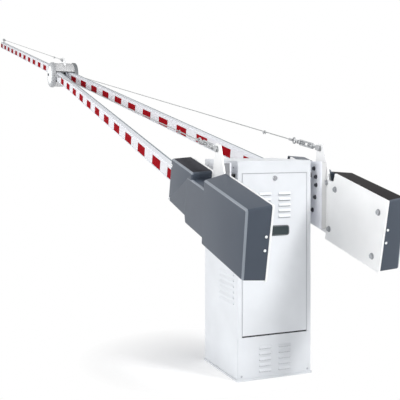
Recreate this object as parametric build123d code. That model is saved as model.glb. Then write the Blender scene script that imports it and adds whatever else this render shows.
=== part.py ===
from build123d import *
import math
import os

os.makedirs("parts", exist_ok=True)

# Frame: origin on the floor under the cabinet's centre, +Z up, the boom points to -X,
# the louvred door faces +X, the output shaft lies along Y.

# Cabinet
cab_depth = 390.0
cab_width = 386.0
cab_height = 1016.0
sheet = 2.5
hood_skirt = 56.0
hood_edge = 2.0
lip = 25.0
foot_lip = 22.0
cab_corner = 3.0
pivot_drop = 99.0
wall_port_radius = 40.0

# Base plate
base_reach = 6.0
base_thick = 8.0
base_corner = 10.0
conduit_side = 150.0
anchor_spacing = 300.0
anchor_radius = 7.0

# Door and lower panel
door_margin = 25.0
door_groove = 4.0
door_slot = 7.0
door_flange = 15.0
door_gap = 4.5
panel_top = 200.0
panel_seam = 1.0
panel_margin = 3.0
hinge_inset_x = 6.0
hinge_inset_y = 6.0
hinge_pin_radius = 3.0
hinge_pin_length = 17.0
hinge_pin_collar = 5.0
hinge_collar_radius = 4.5
running_gap = 0.05
sill_depth = 42.0

# Louvres
louvre_length = 62.0
louvre_height = 12.0
louvre_reach = 6.0
louvre_skin = 1.2
louvre_pitch = 26.7
louvre_rows = 5
louvre_inner = 20.0
door_louvre_drop = 87.0
panel_louvre_drop = 46.0
side_louvre_length = 160.0
side_louvre_start = -6.0
side_louvre_drop = 521.0
side_louvre_rows = 6

# Lock and badge
lock_drop = 26.0
lock_barrel_radius = 9.0
lock_face_radius = 8.0
lock_rosette_radius = 14.0
lock_rosette_thick = 4.0
lock_face_thick = 3.0
lock_barrel_depth = 30.0
cam_over = 4.0
cam_half_width = 7.0
cam_thick = 3.0
key_slot_length = 9.0
key_slot_width = 1.6
key_slot_depth = 2.0
badge_length = 150.0
badge_height = 48.0
badge_thick = 3.0
badge_corner = 8.0
badge_drop = 268.0

# Drive frame
frame_half_depth = 95.0
frame_side_space = 103.0
frame_plate = 6.0
frame_foot = 28.0
gear_shelf_drop = 161.0
gear_shelf_thick = 12.0
motor_shelf_drop = 91.0
motor_shelf_thick = 8.0
window_side = 35.0
window_edge = 38.0
window_foot = 82.0
window_corner = 20.0

# Worm gearbox
gear_half_depth = 80.0
gear_side_gap = 25.0
gear_top_radius = 88.0
gear_foot_half_depth = 92.0
gear_foot_gap = 6.0
gear_foot_thick = 12.0
gear_boss_radius = 66.0
gear_boss_reach = 15.0
worm_drop = 85.0
worm_boss_radius = 38.0
worm_boss_reach = 12.0
worm_radius = 12.5
worm_depth = 45.0
fin_count = 7
fin_pitch = 17.0
fin_thick = 4.0
fin_reach = 5.0
fin_foot = 16.0
fin_top_drop = 31.0
plug_radius = 8.0
plug_reach = 6.0
plug_rise = 44.0

# Belt drive
pulley_plane = 140.0
pulley_width = 18.0
big_pulley_radius = 70.0
small_pulley_radius = 45.0
groove_depth = 8.0
groove_width = 11.0
belt_width = 9.0
belt_thick = 7.0
belt_clear = 0.4
belt_centres = 260.0

# Motor
motor_side_gap = 20.0
motor_front = 112.0
motor_back = -108.0
motor_fin_reach = 5.0
motor_fin_thick = 3.0
motor_fins = 12
motor_bell = 16.0
motor_bell_step = 4.0
motor_shaft_radius = 10.0
motor_shaft_depth = 20.0
motor_foot_step = 10.0
motor_foot_thick = 10.0
term_half_depth = 38.0
term_sink = 8.0
term_reach = 28.0
term_half_height = 32.0
term_round = 5.0

# Control box
ctrl_back = -112.0
ctrl_front = 68.0
ctrl_wall_gap = 17.0
ctrl_rise = 142.0
ctrl_top_gap = 25.0
ctrl_lid = 4.0
ctrl_round = 4.0
gland_radius = 9.0
gland_length = 16.0
gland_pitch = 32.0
gland_count = 3

# Bearings and side stops
bearing_flange_half = 55.0
bearing_flange_corner = 14.0
bearing_flange_thick = 10.0
bearing_boss_radius = 45.0
bearing_boss_reach = 22.0
bearing_bolt_circle = 52.0
bearing_bolt_radius = 6.0
bearing_bolt_head = 6.0
bearing_bolts = 4
stop_front = 172.0
stop_length = 38.0
stop_drop = 84.0
stop_height = 24.0
stop_reach = 20.0
stop_round = 4.0

# Limit switches and cams
cam_disc_radius = 46.0
cam_lobe_radius = 52.0
cam_lobe_half = 14.0
cam_disc_thick = 8.0
cam_gap = 8.0
cam_pitch = 18.0
switch_clear = 2.0
switch_height = 40.0
switch_half_length = 28.0
switch_bracket_thick = 6.0
switch_roller = 4.0

# Boom in its own frame: u runs forward along the plates, w runs up, origin on the shaft axis
rest_angle = 12.4
shaft_radius = 30.0
shaft_over = 8.0
shaft_hole_gap = 0.3
post_length = 26.0
plate_thick = 8.0
plate_round = 6.0
plate_round_above = 140.0
plate_points = [
    (176, -110), (176, 126), (-62, 126), (-78, 116), (-77, 262), (-128, 262), (-198, 154),
    (-222, 108), (-256, 112), (-262, 154), (-688, 148), (-688, -176), (-243, -176), (-243, -146),
    (-20, -146), (-12, -114),
]
finger_hole_u = -103.0
finger_hole_w = 238.0
finger_hole_radius = 8.5

# Hub bracket: a plate on the shaft, held off the arm plate by posts
bracket_gap = 42.0
bracket_thick = 8.0
bracket_points = [
    (-180, 192), (-40, 158), (30, 96), (120, 70), (120, -70), (-40, -126), (-243, -126),
]
hub_boss_radius = 58.0
hub_boss_gap = 8.0
post_radius = 14.0
hub_bolt_points = [(-128, 144), (-155, 109), (-165, 71), (-168, 11), (-158, -56), (95, 48), (95, -48)]
hub_bolt_radius = 9.0
hub_bolt_head = 9.0
washer_radius = 40.0
washer_thick = 6.0
end_bolt_radius = 15.0
end_bolt_head = 10.0

# Moulded cover
cover_depth = 103.0
cover_skin = 4.0
cover_edge = 5.0
cover_draft = 7.0
cover_corner = 6.0
cover_points = [
    (180, -100), (180, 117), (-64, 117), (-14, 84), (-208, 84), (-214, 124), (-660, 124),
    (-682, -166), (-246, -166), (-236, -138), (-32, -138), (-16, -107),
]
exit_clear = 5.0

# Counterweights
weight_front = -250.0
weight_rear = -652.0
weight_low = -150.0
weight_high = 106.0
weight_plate = 14.5
weight_count = 6
weight_step = 3.0
weight_bolt_points = [(-279, 80), (-267, -119), (-632, 80), (-627, -121)]
bolt_head_radius = 13.0
bolt_head_reach = 8.0
spare_bolt_u = -198.0
spare_bolt_w = 92.0

# Rear arms
tube_height = 80.0
tube_width = 45.0
tube_wall = 2.0
rail_height = 6.0
rail_reach = 1.2
arm_gap = 34.6
arm_meet = 55.2
arm_droop = 1.0
arm_start = 70.0
arm_over = 50.0
socket_start = 62.0
socket_end = 165.0
socket_width = 68.0
socket_half_height = 52.0
socket_bolt_points = [88.0, 140.0]
strip_height = 64.0
strip_thick = 0.8
strip_start = 185.0
strip_margin = 60.0

# Hub
hub_u = 4420.0
front_droop = 2.2
drum_radius = 118.0
drum_wall = 4.0
drum_half = 98.0
rim_radius = 125.0
rim_inner = 84.0
rim_width = 18.0
rim_round = 3.0
cap_radius = 83.7
cap_width = 30.0
cap_round = 6.0
stud_radius = 8.0
stud_gap = 0.3
stud_nut_radius = 13.0
stud_nut = 9.0
inner_nut_start = 82.6
inner_nut = 12.0
cap_skin_thick = 4.0
cheek_half_height = 28.0
cheek_back = -88.0
cheek_front = 42.0
cross_bolt_back = -58.0
rear_slot_half_width = 92.0
rear_slot_half_height = 52.0
front_slot_half_width = 29.0
front_slot_half_height = 49.0
fin_points = [(-92, 100), (-70, 168), (62, 168), (98, 100)]
fin_half = 4.0
fin_bolt_w = 148.0
fin_bolt_u = 12.0
fin_bolt_radius = 8.4
fin_hole_radius = 8.5

# Front arm
front_start = -92.0
front_end = 4108.0
front_strip_start = 175.0
cap_length = 28.0
cap_skin = 3.0
cap_plug = 40.0

# Stays
stay_radius = 3.0
eye_y = 107.0
eye_u = -188.0
eye_w = 22.0
eye_ring = 16.0
eye_wire = 5.0
eye_shank_radius = 6.0
eye_shank_reach = 82.0
fork_half = 15.0
fork_cheek = 5.0
fork_length = 34.0
fin_fork_length = 86.0
fork_gap = 1.8
rod_radius = 6.0
rod_start = 30.0
body_start = 62.0
body_end = 196.0
body_boss = 18.0
body_boss_radius = 15.0
body_bar_radius = 5.0
body_bar_offset = 11.0
nut_start = 202.0
nut_length = 10.0
nut_radius = 11.0
rod_end = 232.0
ring_centre = 246.0
ring_radius = 14.0
ring_wire = 4.0
stay_start = 262.0
sleeve_length = 34.0
sleeve_radius = 6.5
clamp_first = 300.0
clamp_last = 128.0
clamp_half = 9.0
clamp_deep = 7.0
anchor_u = 4000.0
anchor_rise = 44.0
anchor_half = 5.0
anchor_half_length = 26.0
anchor_base = 4.0
anchor_base_half_length = 45.0
anchor_base_half_width = 18.0
front_fork_end = 40.0

# Shared by all small bars, bolts and turns
bolt_sides = 6
bar_sides = 12
quarter_turn = 90.0

# Sizes that follow
half_d = cab_depth / 2
half_w = cab_width / 2
base_depth = cab_depth + base_reach * 2
base_width = cab_width + base_reach * 2
front_face = half_d
skin_back = half_d - sheet
hood_base = cab_height - hood_skirt
pivot_height = hood_base - pivot_drop
worm_height = pivot_height - worm_drop
motor_height = worm_height - belt_centres
gear_shelf_top = pivot_height - gear_shelf_drop
motor_shelf_top = motor_height - motor_shelf_drop
door_half_width = half_w - door_margin
door_top = hood_base - door_groove
door_bottom = panel_top + door_slot
lock_height = hood_base - lock_drop
cam_length = lock_drop + cam_over
frame_inner = half_w - frame_side_space
wide = frame_inner + frame_plate
gear_half_width = frame_inner - gear_side_gap
gear_foot_half_width = frame_inner - gear_foot_gap
motor_radius = frame_inner - motor_side_gap
motor_bell_radius = motor_radius - motor_bell_step
motor_foot_half = motor_radius - motor_foot_step
term_inner = motor_radius - term_sink
term_outer = motor_radius + term_reach
cam_first = wide + cam_gap
hub_boss_start = half_w + bearing_boss_reach + hub_boss_gap
bracket_inner = half_w + bracket_gap
post_start = bracket_inner + bracket_thick
plate_inner = post_start + post_length
plate_outer = plate_inner + plate_thick
shaft_half_length = plate_outer + shaft_over
arm_offset = plate_outer + arm_gap
toe_in = math.degrees(math.atan((arm_offset - arm_meet) / hub_u))
arm_end = hub_u + arm_over


def block(x, y, z):
    """Box between the two values given for each axis."""
    size = Box(x[1] - x[0], y[1] - y[0], z[1] - z[0], align=(Align.MIN, Align.MIN, Align.MIN))
    return Pos(x[0], y[0], z[0]) * size


def span(side, inner, outer):
    """Ordered Y range for a part on one side of the centre plane."""
    return tuple(sorted((side * inner, side * outer)))


def rod(start, direction, radius, length):
    """Solid rod that starts at a point and runs along a direction."""
    return Plane(origin=start, z_dir=direction) * Cylinder(
        radius, length, align=(Align.CENTER, Align.CENTER, Align.MIN))


def prism(start, direction, radius, length, sides):
    """Rod with flats, its radius taken over the corners."""
    face = RegularPolygon(radius, sides)
    return Plane(origin=start, z_dir=direction) * extrude(face, amount=length, dir=(0, 0, 1))


def bar_rod(start, direction, radius, length):
    """Small round bar, drawn with flats."""
    return prism(start, direction, radius, length, bar_sides)


def hex_rod(start, direction, radius, length):
    """Six-sided rod, for bolt heads, nuts and spacers."""
    return prism(start, direction, radius, length, bolt_sides)


def hex_cross(x, z, radius, side, inner, outer):
    """Six-sided rod along Y on one side of the centre plane."""
    return hex_rod((x, side * inner, z), (0, side, 0), radius, outer - inner)


def cross(x, z, radius, side, inner, outer):
    """Rod along Y on one side of the centre plane."""
    return rod((x, side * inner, z), (0, side, 0), radius, outer - inner)


def outline(points):
    """Flat face in the u, w plane, turned so that u points to -X."""
    return Polygon(*[(-u, w) for u, w in points], align=None)


def plate_outline(points):
    """Cut plate, its upper corners rounded."""
    face = outline(points)
    upper = [corner for corner in face.vertices() if corner.Y > plate_round_above]
    return fillet(upper, plate_round)


def upright(face, side, inner, outer):
    """Plate extruded along Y from a face in the u, w plane."""
    high = span(side, inner, outer)[1]
    seat = Plane(origin=(0, high, 0), x_dir=(1, 0, 0), z_dir=(0, -1, 0))
    return extrude(seat * face, amount=outer - inner, dir=(0, -1, 0))


def louvre(length):
    """Pressed louvre: slanted hood on a vertical skin, open below, outward is +X, centred on Y."""
    skin = louvre_skin
    root = -sheet / 2
    outer = [(root, 0), (0, 0), (louvre_reach, -louvre_height), (root, -louvre_height)]
    inner = [(-sheet, -skin), (0, -skin - skin), (louvre_reach - skin, -louvre_height),
             (-sheet, -louvre_height)]
    seat = Plane(origin=(0, 0, 0), x_dir=(1, 0, 0), z_dir=(0, -1, 0))
    shell = extrude(seat * Polygon(*outer, align=None), amount=length / 2, both=True)
    hollow = extrude(seat * Polygon(*inner, align=None), amount=length / 2 - skin, both=True)
    return shell, hollow


def add_louvres(panel, places, length):
    """Adds hoods and cuts their air slots, one per placement."""
    shell, hollow = louvre(length)
    hoods = [place * shell for place in places]
    slots = [place * hollow for place in places]
    return (panel + hoods) - slots


def face_louvres(top):
    """Placements of two columns of louvres on the front face."""
    places = []
    for side in (-1, 1):
        for row in range(louvre_rows):
            y = side * (louvre_inner + louvre_length / 2)
            places.append(Pos(front_face, y, top - row * louvre_pitch))
    return places


parts = {}

# Base plate with its anchor holes and cable opening
base = block((-base_depth / 2, base_depth / 2), (-base_width / 2, base_width / 2), (0, base_thick))
base = fillet(base.edges().filter_by(Axis.Z), base_corner)
conduit = extrude(Rectangle(conduit_side, conduit_side), amount=base_thick)
base -= conduit
for sx in (-1, 1):
    for sy in (-1, 1):
        hole = rod((sx * anchor_spacing / 2, sy * anchor_spacing / 2, 0), (0, 0, 1), anchor_radius,
                   base_thick)
        base -= hole
parts["base_plate"] = base

# Cabinet shell
opening = door_half_width + door_gap
shell = block((-half_d, half_d), (-half_w, half_w), (base_thick, hood_base))
shell = fillet(shell.edges().filter_by(Axis.Z), cab_corner)
shell -= block((-half_d + sheet, skin_back), (-half_w + sheet, half_w - sheet), (base_thick, hood_base))
shell -= block((skin_back, half_d), (-opening, opening), (panel_top, hood_base))
shell -= block((skin_back, half_d), (-half_w, half_w), (base_thick, panel_top - panel_seam))
strip_edge = half_w - lip
for side in (-1, 1):
    shell += block((skin_back - sheet, skin_back), span(side, strip_edge, half_w - sheet),
                   (base_thick, panel_top))
    shell += block((skin_back - door_flange, skin_back), span(side, opening, opening + sheet),
                   (panel_top, hood_base))
ring = block((-half_d + sheet, skin_back), (-half_w + sheet, half_w - sheet), (hood_base - sheet, hood_base))
ring -= block((-half_d + lip, half_d - lip), (-half_w + lip, half_w - lip), (hood_base - sheet, hood_base))
foot = block((-half_d + sheet, skin_back), (-half_w + sheet, half_w - sheet),
             (base_thick, base_thick + sheet))
foot -= block((-half_d + foot_lip, half_d - foot_lip), (-half_w + foot_lip, half_w - foot_lip),
              (base_thick, base_thick + sheet))
sill = block((skin_back - sill_depth, skin_back), (-half_w + sheet, half_w - sheet),
             (panel_top - sheet, panel_top))
shell = shell + ring + foot + sill
side_places = []
for side in (-1, 1):
    shell -= cross(0, pivot_height, wall_port_radius, side, half_w - sheet, half_w)
    for row in range(side_louvre_rows):
        x = side_louvre_start + side_louvre_length / 2
        z = cab_height - side_louvre_drop - row * louvre_pitch
        side_places.append(Pos(x, side * half_w, z) * Rot(0, 0, side * quarter_turn))
shell = add_louvres(shell, side_places, side_louvre_length)
parts["cabinet_shell"] = shell

# Lower front panel
panel_half_width = half_w - panel_margin
panel = block((skin_back, half_d), (-panel_half_width, panel_half_width),
              (base_thick, panel_top - panel_seam))
parts["lower_panel"] = add_louvres(panel, face_louvres(panel_top - panel_louvre_drop), louvre_length)

# Roof hood
hood = block((-half_d, half_d), (-half_w, half_w), (hood_base, cab_height))
hood = fillet(hood.edges().filter_by(Axis.Z), cab_corner)
hood = chamfer(hood.faces().sort_by(Axis.Z)[-1].edges(), hood_edge)
hood -= block((-half_d + sheet, half_d - sheet), (-half_w + sheet, half_w - sheet),
              (hood_base, cab_height - sheet))
parts["roof_hood"] = hood

# Drive frame: two side plates, two shelves, feet
frame = Part()
window_half_depth = frame_half_depth - window_side
window = [
    (base_thick + window_foot, motor_shelf_top - window_edge),
    (motor_shelf_top + window_edge, gear_shelf_top - window_edge),
]
for side in (-1, 1):
    plate = block((-frame_half_depth, frame_half_depth), span(side, frame_inner, frame_inner + frame_plate),
                  (base_thick, gear_shelf_top - gear_shelf_thick))
    for low, high in window:
        cut = block((-window_half_depth, window_half_depth),
                    span(side, frame_inner, frame_inner + frame_plate),
                    (low, high))
        plate -= chamfer(cut.edges().filter_by(Axis.Y), window_corner)
    foot = block((-frame_half_depth, frame_half_depth), span(side, frame_inner, frame_inner + frame_foot),
                 (base_thick, base_thick + frame_plate))
    frame += [plate, foot]
frame += block((-frame_half_depth, frame_half_depth), (-wide, wide),
               (gear_shelf_top - gear_shelf_thick, gear_shelf_top))
frame += block((-frame_half_depth, frame_half_depth), (-frame_inner, frame_inner),
               (motor_shelf_top - motor_shelf_thick, motor_shelf_top))
parts["drive_frame"] = frame

# Worm gearbox housing
gear = block((-gear_half_depth, gear_half_depth), (-gear_half_width, gear_half_width),
             (gear_shelf_top, pivot_height))
gear += rod((0, -gear_half_width, pivot_height), (0, 1, 0), gear_top_radius,
            gear_half_width + gear_half_width)
gear += block((-gear_foot_half_depth, gear_foot_half_depth), (-gear_foot_half_width, gear_foot_half_width),
              (gear_shelf_top, gear_shelf_top + gear_foot_thick))
for side in (-1, 1):
    gear += cross(0, pivot_height, gear_boss_radius, side, gear_half_width, gear_half_width + gear_boss_reach)
    for k in range(fin_count):
        x = (k - (fin_count - 1) / 2) * fin_pitch
        gear += block((x - fin_thick / 2, x + fin_thick / 2),
                      span(side, gear_half_width, gear_half_width + fin_reach),
                      (gear_shelf_top + fin_foot, pivot_height - fin_top_drop))
gear += bar_rod((gear_half_depth, 0, worm_height), (1, 0, 0), worm_boss_radius, worm_boss_reach)
gear += hex_rod((gear_half_depth, 0, pivot_height + plug_rise), (1, 0, 0), plug_radius, plug_reach)
gear -= rod((0, -half_w, pivot_height), (0, 1, 0), shaft_radius + running_gap, cab_width)
worm_mouth = gear_half_depth + worm_boss_reach
gear -= rod((worm_mouth - worm_depth, 0, worm_height), (1, 0, 0), worm_radius + running_gap, worm_depth)
parts["gearbox_housing"] = gear


def pulley(height, radius, bore_back, shaft):
    """Grooved pulley on its shaft, both along X."""
    body = rod((pulley_plane, 0, height), (1, 0, 0), radius, pulley_width)
    groove_low = pulley_plane + (pulley_width - groove_width) / 2
    cut = rod((groove_low, 0, height), (1, 0, 0), radius, groove_width)
    cut -= rod((groove_low, 0, height), (1, 0, 0), radius - groove_depth, groove_width)
    body -= cut
    body += rod((bore_back, 0, height), (1, 0, 0), shaft, pulley_plane - bore_back)
    return body


worm_start = worm_mouth - worm_depth
parts["worm_pulley"] = pulley(worm_height, big_pulley_radius, worm_start, worm_radius)
parts["motor_pulley"] = pulley(motor_height, small_pulley_radius, motor_front - motor_shaft_depth,
                               motor_shaft_radius)

# Motor with fins, end bells and feet
motor = rod((motor_back, 0, motor_height), (1, 0, 0), motor_bell_radius, motor_front - motor_back)
motor += rod((motor_back + motor_bell, 0, motor_height), (1, 0, 0), motor_radius,
             motor_front - motor_back - motor_bell - motor_bell)
for k in range(motor_fins):
    fin = block((motor_back + motor_bell, motor_front - motor_bell),
                (-motor_fin_thick / 2, motor_fin_thick / 2), (0, motor_radius + motor_fin_reach))
    motor += Pos(0, 0, motor_height) * Rot(math.degrees(math.tau * k / motor_fins), 0, 0) * fin
motor += block((-motor_foot_half, motor_foot_half), (-motor_foot_half, motor_foot_half),
               (motor_shelf_top, motor_shelf_top + motor_foot_thick))
motor += block((-motor_foot_half, motor_foot_half), (-motor_foot_half / 2, motor_foot_half / 2),
               (motor_shelf_top, motor_height))
motor -= rod((motor_front - motor_shaft_depth, 0, motor_height), (1, 0, 0),
             motor_shaft_radius + running_gap, motor_shaft_depth)
terminal = block((-term_half_depth, term_half_depth), (-term_outer, -term_inner),
                 (motor_height - term_half_height, motor_height + term_half_height))
terminal = fillet(terminal.faces().sort_by(Axis.Y)[0].edges(), term_round)
parts["motor_body"] = motor
parts["terminal_box"] = terminal - motor

# Belt over both pulleys
def belt_face(growth):
    """Outline of a loop round both pulleys at a distance from the groove floors."""
    big_r = big_pulley_radius - groove_depth + growth
    small_r = small_pulley_radius - groove_depth + growth
    lean = math.asin((big_r - small_r) / belt_centres)
    sy, cz = math.cos(lean), math.sin(lean)
    top = (0, worm_height)
    low = (0, motor_height)
    wedge = Polygon(
        (-big_r * sy, top[1] + big_r * cz), (-small_r * sy, low[1] + small_r * cz),
        (small_r * sy, low[1] + small_r * cz), (big_r * sy, top[1] + big_r * cz), align=None)
    return wedge + Pos(*top) * Circle(big_r) + Pos(*low) * Circle(small_r)


belt = belt_face(belt_clear + belt_thick) - belt_face(belt_clear)
belt_seat = Plane(origin=(pulley_plane + (pulley_width - belt_width) / 2, 0, 0), x_dir=(0, 1, 0),
                  z_dir=(1, 0, 0))
parts["drive_belt"] = extrude(belt_seat * belt, amount=belt_width, dir=(1, 0, 0))

# Control box on the frame's side
ctrl_outer = half_w - ctrl_wall_gap
ctrl_low = base_thick + ctrl_rise
ctrl_high = motor_shelf_top - ctrl_top_gap
ctrl = block((ctrl_back, ctrl_front), (wide, ctrl_outer), (ctrl_low, ctrl_high))
ctrl = fillet(ctrl.edges().filter_by(Axis.Z), ctrl_round)
ctrl += block((ctrl_front, ctrl_front + ctrl_lid), (wide + ctrl_lid, ctrl_outer - ctrl_lid),
              (ctrl_low + ctrl_lid, ctrl_high - ctrl_lid))
for k in range(gland_count):
    x = ctrl_back + gland_pitch * (k + 1)
    ctrl += hex_rod((x, (wide + ctrl_outer) / 2, ctrl_low - gland_length), (0, 0, 1), gland_radius,
                    gland_length)
parts["control_box"] = ctrl

# Flange bearings and side stops
stops = Part()
bearings = Part()
for side in (-1, 1):
    bearing = block((-bearing_flange_half, bearing_flange_half),
                    span(side, half_w, half_w + bearing_flange_thick),
                    (pivot_height - bearing_flange_half, pivot_height + bearing_flange_half))
    bearing = chamfer(bearing.edges().filter_by(Axis.Y), bearing_flange_corner)
    bearing += cross(0, pivot_height, bearing_boss_radius, side, half_w, half_w + bearing_boss_reach)
    for k in range(bearing_bolts):
        a = math.tau * (k + 0.5) / bearing_bolts
        bearing += hex_cross(bearing_bolt_circle * math.cos(a),
                             pivot_height + bearing_bolt_circle * math.sin(a),
                             bearing_bolt_radius, side, half_w + bearing_flange_thick,
                         half_w + bearing_flange_thick + bearing_bolt_head)
    bearing -= cross(0, pivot_height, shaft_radius + running_gap, side, 0, cab_width)
    bearings += bearing
    stop = block((stop_front - stop_length, stop_front), span(side, half_w, half_w + stop_reach),
                 (cab_height - stop_drop, cab_height - stop_drop + stop_height))
    stops += chamfer(stop.edges().filter_by(Axis.Y), stop_round)
parts["shaft_bearings"] = bearings
parts["side_stops"] = stops

# Limit switches on a bracket beside the gearbox
switch_top = pivot_height - cam_lobe_radius - switch_clear
body_top = switch_top - switch_roller * 2
body_low = body_top - switch_height
stem_back = -switch_half_length - switch_bracket_thick
bracket_reach = cam_first + cam_pitch * 2
switches = block((stem_back, switch_half_length), (-bracket_reach, -wide),
                 (gear_shelf_top - gear_shelf_thick, gear_shelf_top))
switches += block((stem_back, -switch_half_length), (-bracket_reach, -wide), (gear_shelf_top, body_top))
for k in range(2):
    y = -(cam_first + cam_pitch * k)
    switches += block((-switch_half_length, switch_half_length), (y - cam_disc_thick, y),
                      (body_low, body_top))
    switches += block((-switch_roller, switch_roller), (y - cam_disc_thick, y),
                      (body_top, switch_top - switch_roller))
    switches += rod((0, y - cam_disc_thick, switch_top - switch_roller), (0, 1, 0), switch_roller,
                    cam_disc_thick)
parts["limit_switches"] = switches

# Door with louvres and folded edges
door = block((skin_back, half_d), (-door_half_width, door_half_width), (door_bottom, door_top))
edge = block((skin_back - door_flange, skin_back), (-door_half_width, door_half_width),
             (door_bottom, door_top))
edge -= block((skin_back - door_flange, skin_back), (-door_half_width + sheet, door_half_width - sheet),
              (door_bottom + sheet, door_top - sheet))
door = add_louvres(door + edge, face_louvres(door_top - door_louvre_drop), louvre_length)
hinge_x = half_d - hinge_inset_x
hinge_y = door_half_width - hinge_inset_y
lug = block((hinge_x - lip / 2, skin_back), (hinge_y - lip / 2, door_half_width),
            (door_bottom, door_bottom + sheet))
door += lug + Pos(0, 0, door_top - door_bottom - sheet) * lug
for low in (door_bottom, door_top - sheet):
    door -= rod((hinge_x, hinge_y, low), (0, 0, 1), hinge_pin_radius + running_gap, sheet)
door -= rod((skin_back, 0, lock_height), (1, 0, 0), lock_barrel_radius + running_gap, sheet)
parts["door_panel"] = door

pins = rod((hinge_x, hinge_y, panel_top), (0, 0, 1), hinge_pin_radius, hinge_pin_length)
pins += bar_rod((hinge_x, hinge_y, panel_top), (0, 0, 1), hinge_collar_radius, hinge_pin_collar)
top_pin = hood_base - sheet - hinge_pin_length
pins += rod((hinge_x, hinge_y, top_pin), (0, 0, 1), hinge_pin_radius, hinge_pin_length)
parts["hinge_pins"] = pins

badge_centre = door_top - badge_drop
badge = block((front_face, front_face + badge_thick), (-badge_length / 2, badge_length / 2),
              (badge_centre - badge_height / 2, badge_centre + badge_height / 2))
badge = fillet(badge.edges().filter_by(Axis.X), badge_corner)
badge = chamfer(badge.faces().sort_by(Axis.X)[-1].edges(), badge_thick / 3)
parts["blank_badge"] = badge

rosette = rod((front_face, 0, lock_height), (1, 0, 0), lock_rosette_radius, lock_rosette_thick)
rosette -= rod((front_face, 0, lock_height), (1, 0, 0), lock_barrel_radius + running_gap, lock_rosette_thick)
parts["lock_bezel"] = rosette

barrel_back = skin_back - lock_barrel_depth
barrel = rod((barrel_back, 0, lock_height), (1, 0, 0), lock_barrel_radius,
             front_face + lock_rosette_thick - barrel_back)
barrel += rod((front_face + lock_rosette_thick, 0, lock_height), (1, 0, 0), lock_face_radius, lock_face_thick)
key_face = front_face + lock_rosette_thick + lock_face_thick
barrel -= block((key_face - key_slot_depth, key_face), (-key_slot_length / 2, key_slot_length / 2),
                (lock_height - key_slot_width / 2, lock_height + key_slot_width / 2))
cam = block((barrel_back, barrel_back + cam_thick), (-cam_length, 0),
            (lock_height - cam_half_width, lock_height + cam_half_width))
parts["lock_barrel"] = barrel + cam

# Boom assembly, modelled with its plates level and turned to the rest pose at the end
boom = {}

shaft = rod((0, -shaft_half_length, 0), (0, 1, 0), shaft_radius, shaft_half_length * 2)
for k in range(2):
    y = cam_first + cam_pitch * k
    disc = bar_rod((0, -y, 0), (0, -1, 0), cam_disc_radius, cam_disc_thick)
    lobe = block((-cam_lobe_half, cam_lobe_half), span(-1, y, y + cam_disc_thick), (0, cam_lobe_radius))
    shaft += [disc, Rot(0, k * quarter_turn, 0) * lobe]
boom["output_shaft"] = shaft


class Beam:
    """Straight line with its own section axes, for tubes and what is fixed to them."""

    def __init__(self, side, start, toe, droop):
        t, d = math.radians(toe), math.radians(droop)
        self.side = side
        self.start = Vector(*start)
        self.dir = Vector(-math.cos(d) * math.cos(t), -side * math.cos(d) * math.sin(t), -math.sin(d))
        self.left = Vector(side * math.sin(t), -math.cos(t), 0)

    def seat(self, s):
        return Plane(origin=self.start + self.dir * s, x_dir=self.left, z_dir=self.dir)

    def bar(self, low, high, across, up):
        """Box along the line; across is a range toward +Y, up a range toward +Z."""
        size = Box(across[1] - across[0], up[1] - up[0], high - low, align=(Align.MIN, Align.MIN, Align.MIN))
        return self.seat(low) * Pos(-across[1], up[0], 0) * size

    def tube(self, low, high):
        """Extrusion with rails along the edges of its tall faces."""
        face = Rectangle(tube_width, tube_height)
        for sx in (-1, 1):
            for sz in (-1, 1):
                rail = Rectangle(rail_reach + rail_reach, rail_height)
                face += Pos(sx * tube_width / 2, sz * (tube_height - rail_height) / 2) * rail
        face -= Rectangle(tube_width - tube_wall * 2, tube_height - tube_wall * 2)
        return extrude(self.seat(low) * face, amount=high - low, dir=self.dir)

    def strips(self, low, high):
        """Reflective strips on both tall faces."""
        both = Part()
        for sx in (-1, 1):
            x = sorted((sx * tube_width / 2, sx * (tube_width / 2 + strip_thick)))
            both += self.bar(low, high, x, (-strip_height / 2, strip_height / 2))
        return both


hub_w = -math.tan(math.radians(arm_droop)) * hub_u
arms = {
    "near": Beam(-1, (0, -arm_offset, 0), toe_in, arm_droop),
    "far": Beam(1, (0, arm_offset, 0), toe_in, arm_droop),
}
front = Beam(1, (-hub_u, 0, hub_w), 0, front_droop)


def stud(u, half):
    """Cross stud through the hub along Y."""
    return bar_rod((-hub_u - u, -half, hub_w), (0, 1, 0), stud_radius, half + half)


def stud_hole(u):
    return bar_rod((-hub_u - u, -half_w, hub_w), (0, 1, 0), stud_radius + stud_gap, cab_width)


front_tube = front.tube(front_start, front_end)
for u in (0, cross_bolt_back):
    front_tube -= stud_hole(u)
boom["front_tube"] = front_tube
boom["front_strip"] = front.strips(front_strip_start, front_end - strip_margin)

# Hub: cheeks between the tubes, studs, drum, rims, caps and fin
cheeks = Part()
for side, name in ((-1, "near"), (1, "far")):
    arm = arms[name]
    cheek = block((-hub_u - cheek_front, -hub_u - cheek_back), span(side, tube_width / 2, drum_half),
                  (hub_w - cheek_half_height, hub_w + cheek_half_height))
    keep_in = arm.bar(0, arm_end + arm_start, sorted((side * -tube_width / 2, side * cab_width)),
                      (-half_w, half_w))
    cheek -= keep_in
    for u in (0, cross_bolt_back):
        cheek -= stud_hole(u)
    cheeks += cheek
boom["clamp_cheeks"] = cheeks
studs = stud(0, drum_half + cap_width)
for side in (-1, 1):
    studs += hex_cross(-hub_u, hub_w, stud_nut_radius, side, drum_half + cap_width,
                       drum_half + cap_width + stud_nut)
    studs += hex_cross(-hub_u - cross_bolt_back, hub_w, stud_nut_radius, side, inner_nut_start,
                       inner_nut_start + inner_nut)
boom["hub_studs"] = studs + stud(cross_bolt_back, inner_nut_start)

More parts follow.
